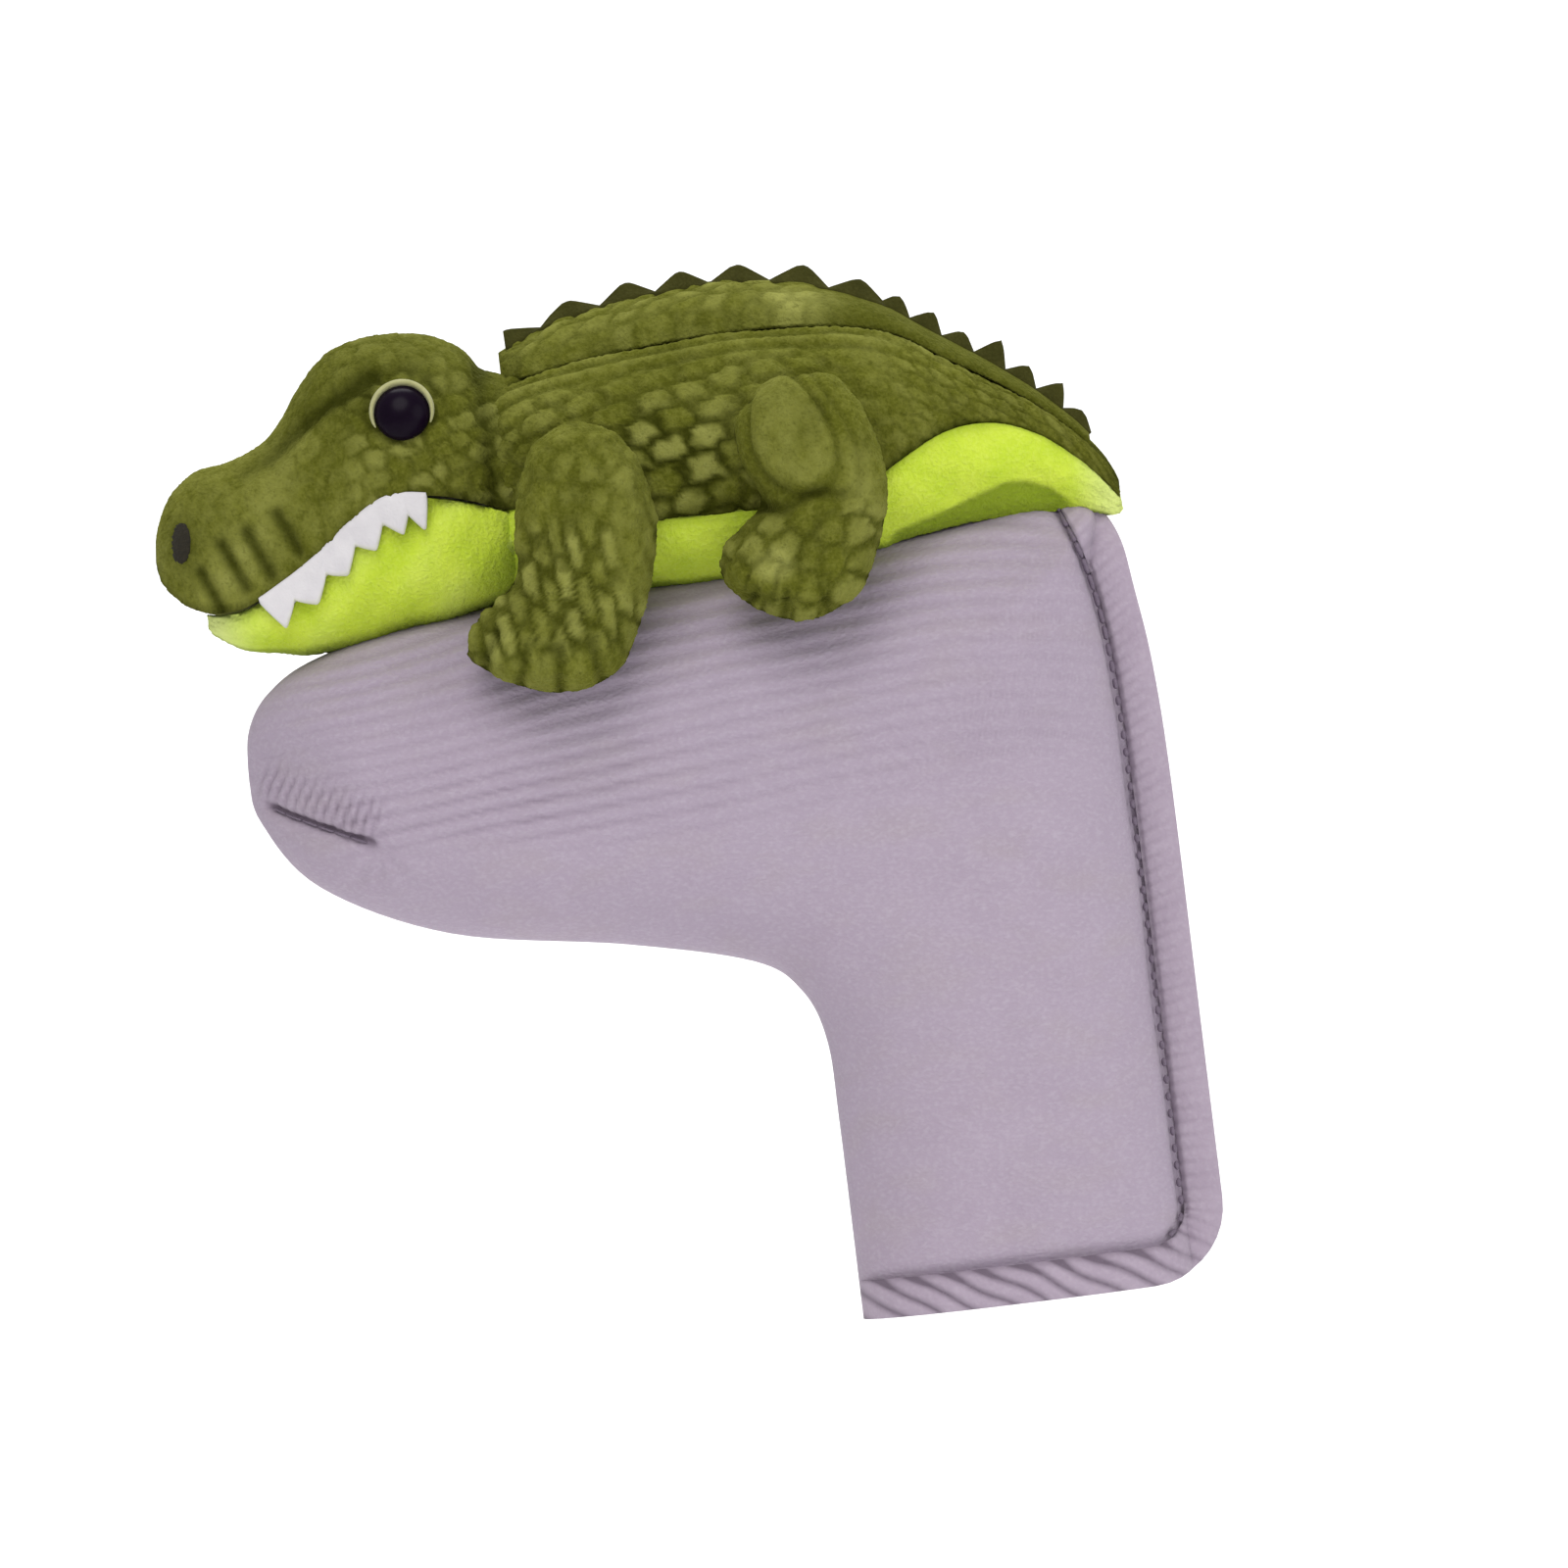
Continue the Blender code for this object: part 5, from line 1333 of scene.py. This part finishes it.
jaw_swell = wander(jaw_x, jaw_z, 6.5, 3.3)
jaw_ends = ease((jaw_x - jaw_table[0, 0]) / 4) * ease((jaw_table[-1, 0] - jaw_x) / 4)
jaw_depth = (roof - jaw_z) / np.maximum(roof - jaw_under, 1.0)
jaw_rise = 0.35 * jaw_swell + 0.5 * np.sin(np.pi * np.clip(jaw_depth, 0, 1))
jaw_rise = jaw_rise * jaw_ends * (jaw_side < 0.05)
jaw_axis = np.stack([jaw_x, 0 * jaw_x, (roof + jaw_under) / 2], axis=-1)
jaw_rings = emboss(jaw_rings, jaw_rise, jaw_axis)
# Painted shadow along the jaw's bottom, where it rests on the sleeve, and painted shade over its top, which
# lies under the head inside the closed mouth. There is also painted shade in the dips of the swells and
# painted highlights on their tops.
jaw_marks = {
    "grooves_and_shade": 0.75 * ease((jaw_depth - 0.86) / 0.12)
    + 0.25 * np.clip(-jaw_swell, 0, 1)
    + 0.6 * (jaw_side > 0.1),
    "pale": 0.65 * ease((jaw_table[0, 0] + 9 - jaw_x) / 8) + 0.12 * np.clip(jaw_swell, 0, 1),
}
jaw = closed_rings("lower_jaw_plush", jaw_rings, lime_plush.look, jaw_marks)
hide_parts("lower_jaw")
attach(jaw, "head")

ROLL_ROWS, ROLL_AROUND = 81, 40
ROLL_X, ROLL_Z, ROLL_RADIUS = -74.6, 137.0, 4.2
roll_y = np.repeat(np.linspace(-15.5, 15.5, ROLL_ROWS)[:, None], ROLL_AROUND, axis=1)
roll_angle = np.radians(np.linspace(0, 360, ROLL_AROUND + 1)[:-1])[None] + 0 * roll_y
roll_size = ROLL_RADIUS * np.sqrt(np.clip(1 - (np.abs(roll_y) / 15.6) ** 4, 0, 1)) + 0.05
roll_size += 0.25 * wander(roll_y, roll_angle * 5, 5.0) * (np.abs(roll_y) < 14)
roll_x = ROLL_X + roll_size * np.cos(roll_angle)
roll_z = ROLL_Z + 1.1 * roll_size * np.sin(roll_angle)
throat_rings = np.stack([roll_x, roll_y, roll_z], axis=-1)
# The roll's underside is painted darker: painted shade.
throat_marks = {"grooves_and_shade": 0.5 * ease((-np.sin(roll_angle) - 0.4) / 0.5), "pale": 0.15 + 0 * roll_y}
throat = closed_rings("throat_roll", throat_rings, lime_plush.look, throat_marks)
bend_at_neck(throat)

# --- Teeth -------------------------------------------------------------------------------------
# A zigzag strip of off-white felt on each side, cut in one piece and caught in the seam under the
# snout. Its points hang outside the lower jaw.

tooth_felt = Finish("tooth_felt", Roughness=0.95, Sheen_Weight=0.1)
tooth_fibre = tooth_felt.noise(0.5, 3.0)
tooth_tone = tooth_felt.mix(tooth_felt.noise(4.0), (0.52, 0.50, 0.53), (0.69, 0.67, 0.68))
# The mark tints the teeth olive at their lower edges: painted shade.
tooth_tone = tooth_felt.mix(tooth_felt.mark("grooves_and_shade").clipped(), tooth_tone, (0.42, 0.46, 0.14))
tooth_felt.paint(tooth_tone, height=tooth_fibre, relief=0.3, strength=0.5)

TOOTH_THICK = 1.1
tooth_tips = np.array([RIGHT - b for b in (145.0, 139.2, 133.6, 128.4, 123.6, 119.6)])
tooth_gaps = np.array([RIGHT - b for b in (147.6, 142.4, 136.6, 131.2, 126.2, 121.8, 117.6)])
tooth_x = np.linspace(tooth_gaps[0], tooth_gaps[-1], 145)
near_tip = np.abs(tooth_x[:, None] - tooth_tips).min(axis=1)
near_gap = np.abs(tooth_x[:, None] - tooth_gaps).min(axis=1)
zigzag = near_gap / (near_gap + near_tip)
ends = np.clip(np.minimum(tooth_x - tooth_gaps[0], tooth_gaps[-1] - tooth_x) / 2.5, 0, 1)
drop = 0.6 + 2.9 * ends + 3.0 * np.minimum(zigzag * 1.08, 1.0) ** 0.85
down = np.linspace(0, 1, 19)
tooth_width, tooth_root = read_off(head_table, tooth_x)[:2]
for side_name, side in SIDES:
    lean = 0.22 * (drop[:, None] * down[None])
    x = tooth_x[:, None] + lean
    z = tooth_root[:, None] + 0.5 - (drop[:, None] + 0.4) * down[None]
    jaw_half = np.interp(x, jaw_table[:, 0], jaw_table[:, 1])
    hug = tooth_width[:, None] * (1 - down[None]) + (jaw_half + 1.9) * down[None]
    base_y = np.maximum(np.minimum(hug, tooth_width[:, None] - 0.2), jaw_half + 0.7)
    puff = 0.35 * np.sqrt(np.clip(1 - (2 * down - 1) ** 2, 0, 1))[None]
    outer = np.stack([x, side * (base_y + puff), z], axis=-1)
    inner = np.stack([x, side * (base_y - TOOTH_THICK), z], axis=-1)
    # The lower edges of the teeth are tinted olive: painted shade.
    marks = {"grooves_and_shade": 0.35 * ease((down[None] - 0.85) / 0.15) + 0 * x}
    teeth = two_skins(f"teeth_strip_{side_name}", outer, inner[::2, ::2], tooth_felt.look, marks)
    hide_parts(f"teeth_{side_name}")
    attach(teeth, "head")

# --- Eyes and nostrils -------------------------------------------------------------------------
# Black domed safety eyes, each under a pale olive felt lid that runs most of the way round it, and
# dark felt nostrils.

eye_gloss = Finish("eye_plastic", Roughness=0.25, Specular_IOR_Level=0.06)
eye_tone = eye_gloss.mix(eye_gloss.noise(6.0), (0.0035, 0.001, 0.005), (0.007, 0.003, 0.010))
eye_gloss.paint(eye_tone)
lid_felt = Finish("eye_lid_felt", Roughness=0.95, Sheen_Weight=0.15)
lid_fibre = lid_felt.noise(0.5, 3.0)
lid_tone = lid_felt.mix(lid_felt.noise(2.5), (0.27, 0.27, 0.095), (0.45, 0.44, 0.23))
lid_felt.paint(lid_tone, height=lid_fibre, relief=0.3, strength=0.5)
nostril_felt = Finish("nostril_felt", Roughness=0.95)
nostril_tone = nostril_felt.mix(nostril_felt.noise(0.8), (0.006, 0.004, 0.001), (0.018, 0.014, 0.004))
nostril_felt.paint(nostril_tone, height=nostril_felt.noise(0.5), relief=0.3)

EYE_RADIUS, EYE_HEIGHT = 4.7, 3.2
eye_low, eye_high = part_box("eye_ring_near")
eye_spot_x = (eye_low.x + eye_high.x) / 2 / MM + 0.4
for side_name, side in SIDES:
    angle = 153.6 if side == NEAR else 26.4
    offsets = np.array([[0.0, 0.0], [0.5, 0.0], [0.0, 1.5]])
    spot, east, over_top = [
        head_form(np.array(eye_spot_x + a), np.array(angle + side * b)) for a, b in offsets
    ]
    facing = np.cross(east - spot, over_top - spot)
    facing /= np.linalg.norm(facing)
    facing *= side * np.sign(facing[1])
    facing = facing * np.array([1.0, 1.0, 0.75])
    spot = spot + 0.5 * facing / np.linalg.norm(facing)
    facing /= np.linalg.norm(facing)
    level = np.cross(facing, [0.0, 0.0, 1.0])
    level /= np.linalg.norm(level)
    upright = np.cross(level, facing)
    level = level * np.sign(level[0])
    upright = upright * np.sign(upright[2])

    theta = np.radians(np.linspace(0, 360, 65)[:-1])
    profile = [(EYE_RADIUS * 0.9, -2.6), (EYE_RADIUS, -0.5)]
    for k in range(1, 15):
        a = math.radians(6.2 * k)
        profile.append((EYE_RADIUS * math.cos(a), -0.5 + EYE_HEIGHT * math.sin(a)))
    rings = []
    for radius, height in profile:
        ring = spot + facing * height
        rings.append(ring + radius * (np.cos(theta)[:, None] * level + np.sin(theta)[:, None] * upright))
    eye = closed_rings(f"eye_dome_{side_name}", np.array(rings), eye_gloss.look)
    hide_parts(f"eye_{side_name}")
    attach(eye, "head")

    sweep_angle = np.radians(np.linspace(-28, 205, 97))
    lid_share = np.linspace(0, 1, 97)
    body_size = np.sin(np.pi * lid_share) ** 0.45
    section = np.radians(np.linspace(0, 360, 25)[:-1])
    rings = []
    for a, size in zip(sweep_angle, body_size):
        way = math.cos(a) * level + math.sin(a) * upright
        middle = spot + way * (EYE_RADIUS + 0.35) + facing * 0.1
        outwards = way * 0.6 * size
        proud = facing * 1.2 * size
        rings.append(middle + np.cos(section)[:, None] * outwards + np.sin(section)[:, None] * proud)
    lid = closed_rings(f"eye_lid_{side_name}", np.array(rings), lid_felt.look)
    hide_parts(f"eye_ring_{side_name}")
    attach(lid, "head")

    rings = []
    for share in (1.0, 0.9, 0.72, 0.5, 0.28, 0.1):
        a = np.radians(np.linspace(0, 360, 33)[:-1])
        x = RIGHT - 159.5 + share * 1.7 * np.cos(a) + 0.35 * share * np.sin(a)
        z = TOP + 9.8 + share * 3.6 * np.sin(a)
        width, mouth, crown = read_off(head_table, x)
        up_share = np.clip((z - mouth) / (crown - mouth), 0, 1) ** (1 / FULLNESS)
        y = width * np.sqrt(1 - up_share**2) ** FULLNESS
        rings.append(np.stack([x, side * (y - 0.15 + 0.5 * math.sqrt(1 - share**2)), z], axis=-1))
    nostril = closed_rings(f"nostril_patch_{side_name}", np.array(rings), nostril_felt.look)
    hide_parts(f"nostril_{side_name}")
    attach(nostril, "head")

washer = Finish("washer_plastic", Roughness=0.4)
washer.paint(washer.mix(washer.noise(2.0), (0.66, 0.66, 0.64), (0.72, 0.72, 0.70)))
for side_name, _ in SIDES:
    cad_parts[f"eye_washer_{side_name}"].data.materials[0] = washer.look

# --- Legs --------------------------------------------------------------------------------------
# Four stuffed legs of the olive plush, hung from their top seams so that they swing out. The
# front ones end in long paws with sewn toes, and the rear ones fold into a round thigh and a paw.

LEG_PLANE = 22.7
LEG_THICK = 11.0
LEG_RINGS, LEG_AROUND = 131, 132
# Sewn lines between the toes, from the paw to its tip.
FRONT_TOES = (
    ((-77.5, 121.5), (-81.5, 113.5)),
    ((-72.5, 118.5), (-75.5, 110.5)),
    ((-67.0, 117.5), (-68.5, 109.0)),
    ((-61.5, 118.0), (-61.0, 110.0)),
)
REAR_TOES = (
    ((-34.0, 123.0), (-38.0, 117.5)),
    ((-29.0, 122.0), (-30.5, 116.0)),
    ((-23.5, 122.5), (-22.0, 116.5)),
)

# Rows of a leg are (height above TOP, left edge and right edge in mm back from the right edge).
front_rows = curve(
    [
        (21.3, 92.8, 90.6),
        (20.3, 95.6, 87.6),
        (17.6, 99.6, 84.0),
        (9.0, 102.9, 80.9),
        (3.5, 103.4, 80.1),
        (-3.4, 104.6, 81.4),
        (-9.2, 111.4, 83.4),
        (-13.0, 113.4, 84.9),
        (-15.6, 113.4, 86.2),
        (-19.6, 108.2, 88.6),
        (-22.0, 102.8, 93.0),
        (-22.7, 99.4, 96.6),
    ],
    10,
)
rear_rows = curve(
    [
        (24.6, 53.4, 50.6),
        (23.6, 58.4, 47.6),
        (20.6, 63.2, 45.6),
        (17.4, 65.4, 43.8),
        (11.6, 64.8, 41.9),
        (4.4, 62.6, 41.4),
        (-1.6, 68.8, 42.8),
        (-6.6, 70.4, 44.8),
        (-11.6, 67.0, 47.6),
        (-14.4, 62.6, 52.0),
        (-15.6, 59.2, 55.4),
    ],
    10,
)


def leg_form(rows):
    """Rings from the top seam down: flat against the body and puffed on the outside."""
    path = along(rows, np.linspace(0, 1, LEG_RINGS))
    height = TOP + path[:, 0]
    left, right_edge = RIGHT - path[:, 1], RIGHT - path[:, 2]
    middle, half = (left + right_edge) / 2, (right_edge - left) / 2
    a = np.radians(np.linspace(0, 360, LEG_AROUND + 1)[:-1])
    puff = LEG_THICK * np.clip(half / 9.0, 0, 1) ** 0.6
    fore = np.sin(a)[None]
    depth = np.where(fore > 0, puff[:, None] * np.abs(fore) ** 0.75, 0.15 * fore)
    edge = np.sign(np.cos(a)) * np.abs(np.cos(a)) ** 0.85
    x = middle[:, None] + half[:, None] * edge[None]
    z = height[:, None] + 0 * x
    return np.stack([x, -(LEG_PLANE + 0.2 + depth), z], axis=-1), fore > 0.02


def toe_seams(seams, flat, width):
    """1 along the sewn lines between the toes."""
    lines = 0 * flat[..., 0]
    for seam_ends in seams:
        lines = lines + crease(seam_ends, flat, width)
    return lines


def leg_marks(grid, rise, grooves_and_shade, tufts_and_highlights):
    middle = grid.mean(axis=1, keepdims=True)
    middle[..., 1] = -(LEG_PLANE + 2.0)
    return emboss(grid, rise, middle), {"grooves_and_shade": grooves_and_shade, "tufts_and_highlights": tufts_and_highlights}


legs = {}
grid, outer_side = leg_form(front_rows)
lx, lz = grid[..., 0], grid[..., 2]
flat = np.stack([lx, lz], axis=-1)
gap, tone = scales(lz + 0.5 * wander(lx, lz, 9.0), lx + 0.12 * (lz - 130), 7.6, 2.9, 41.0, loose=0.22)
long_gap = close_to(gap, 1.7)
gap_up, tone_up = scales(lx * 0.9 - 0.4 * lz, lz * 0.9 + 0.4 * lx, 4.6, 5.0, 43.0, loose=0.4)
up_gap = close_to(gap_up, 1.2)
lower = ease((141 - lz) / 6) * ease((lz - 114) / 4)
upper = ease((lz - 137) / 6)
elbow = close_to(lx + 53.5, 3.4) * ease((lz - 121) / 6) * ease((150 - lz) / 6)
toes = toe_seams(FRONT_TOES, flat, 0.95)
swell = wander(lx, lz, 7.0, 4.4)
rise = (
    0.7 * lower * (1 - elbow) * (ease(gap / 3.2) - 0.65)
    + 0.25 * upper * (ease(gap_up / 2.4) - 0.6)
    - 0.9 * toes
)
rise += 0.7 * elbow + 0.25 * swell
# Besides the scale gaps, painted shade on the side that lies against the body, along the dented seams
# between the toes and in the dips of the swells.
grooves_and_shade = (
    0.62 * lower * long_gap * (1 - elbow)
    + 0.28 * upper * up_gap
    + 0.6 * toes
    + 0.25 * np.clip(-swell, 0, 1)
    + 0.45 * (1 - outer_side)
)
tufts_and_highlights = (
    0.8 * lower * (1 - long_gap) * (1 - elbow) * (0.35 + 0.65 * ease((tone - 0.3) / 0.5))
    + 0.3 * upper * (1 - up_gap) * tone_up
    + 0.30 * ease((119 - lz) / 6) * (1 - np.clip(toes, 0, 1)) * ease((-60 - lx) / 10)
    + 0.2 * elbow
)
legs["front"] = leg_marks(grid, rise * outer_side, grooves_and_shade, tufts_and_highlights)

grid, outer_side = leg_form(rear_rows)
lx, lz = grid[..., 0], grid[..., 2]
flat = np.stack([lx, lz], axis=-1)
thigh_from = np.hypot((lx + 25.4 + 0.16 * (lz - 149)) / (5.9 - 0.14 * (lz - 148.6)), (lz - 148.6) / 9.6)
thigh = ease((1.15 - thigh_from) / 0.3)
ring_groove = close_to(thigh_from - 1.15, 0.10)
ring_groove = ring_groove + 0.7 * close_to(thigh_from - 1.62, 0.12) * (lz > 136)
ankle = crease([(-33.5, 137.4), (-28.5, 135.8), (-23.0, 137.8), (-18.0, 137.0)], flat, 1.1)
gap, tone = scales(lx - 0.3 * lz, lz + 0.25 * lx, 5.0, 5.4, 51.0, loose=0.38)
paw_gap = close_to(gap, 1.35)
paw = ease((137 - lz) / 4)
toes = toe_seams(REAR_TOES, flat, 0.9)
swell = wander(lx, lz, 7.0, 5.1)
pale_spot = np.exp(-(np.hypot((lx + 30.6) / 3.2, (lz - 126.5) / 2.7) ** 4))
rise = (
    0.9 * thigh
    - 0.55 * ring_groove * (1 - paw)
    - ankle
    + 0.55 * paw * (ease(gap / 2.0) - 0.6)
    - 0.7 * toes
    + 0.25 * swell
)
# Besides the paw's scale gaps, painted shade on the side that lies against the body, in the dented rings
# round the thigh, the ankle crease, the seams between the toes and the dips of the swells.
grooves_and_shade = (
    0.38 * ring_groove * (1 - paw)
    + 0.6 * ankle
    + 0.4 * paw * paw_gap
    + 0.6 * toes
    + 0.25 * np.clip(-swell, 0, 1)
    + 0.45 * (1 - outer_side)
)
tufts_and_highlights = (
    0.28 * thigh
    + 0.9 * pale_spot
    + 0.45 * paw * (1 - paw_gap) * ease((tone - 0.3) / 0.5) * (1 - np.clip(toes, 0, 1))
    + 0.5 * patch((lx + 14.5) / 3.0, (lz - 139) / 6.0)
)
legs["rear"] = leg_marks(grid, rise * outer_side, grooves_and_shade, tufts_and_highlights)

for leg_name, (form, marks) in legs.items():
    for side_name, side in SIDES:
        node = f"{leg_name}_leg_{side_name}"
        leg = closed_rings(f"{node}_plush", mirrored(form, side), plush.look, marks)
        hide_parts(node)
        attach(leg, node)

# --- Finish ------------------------------------------------------------------------------------
# The view layer is brought up to date.

bpy.context.view_layer.update()
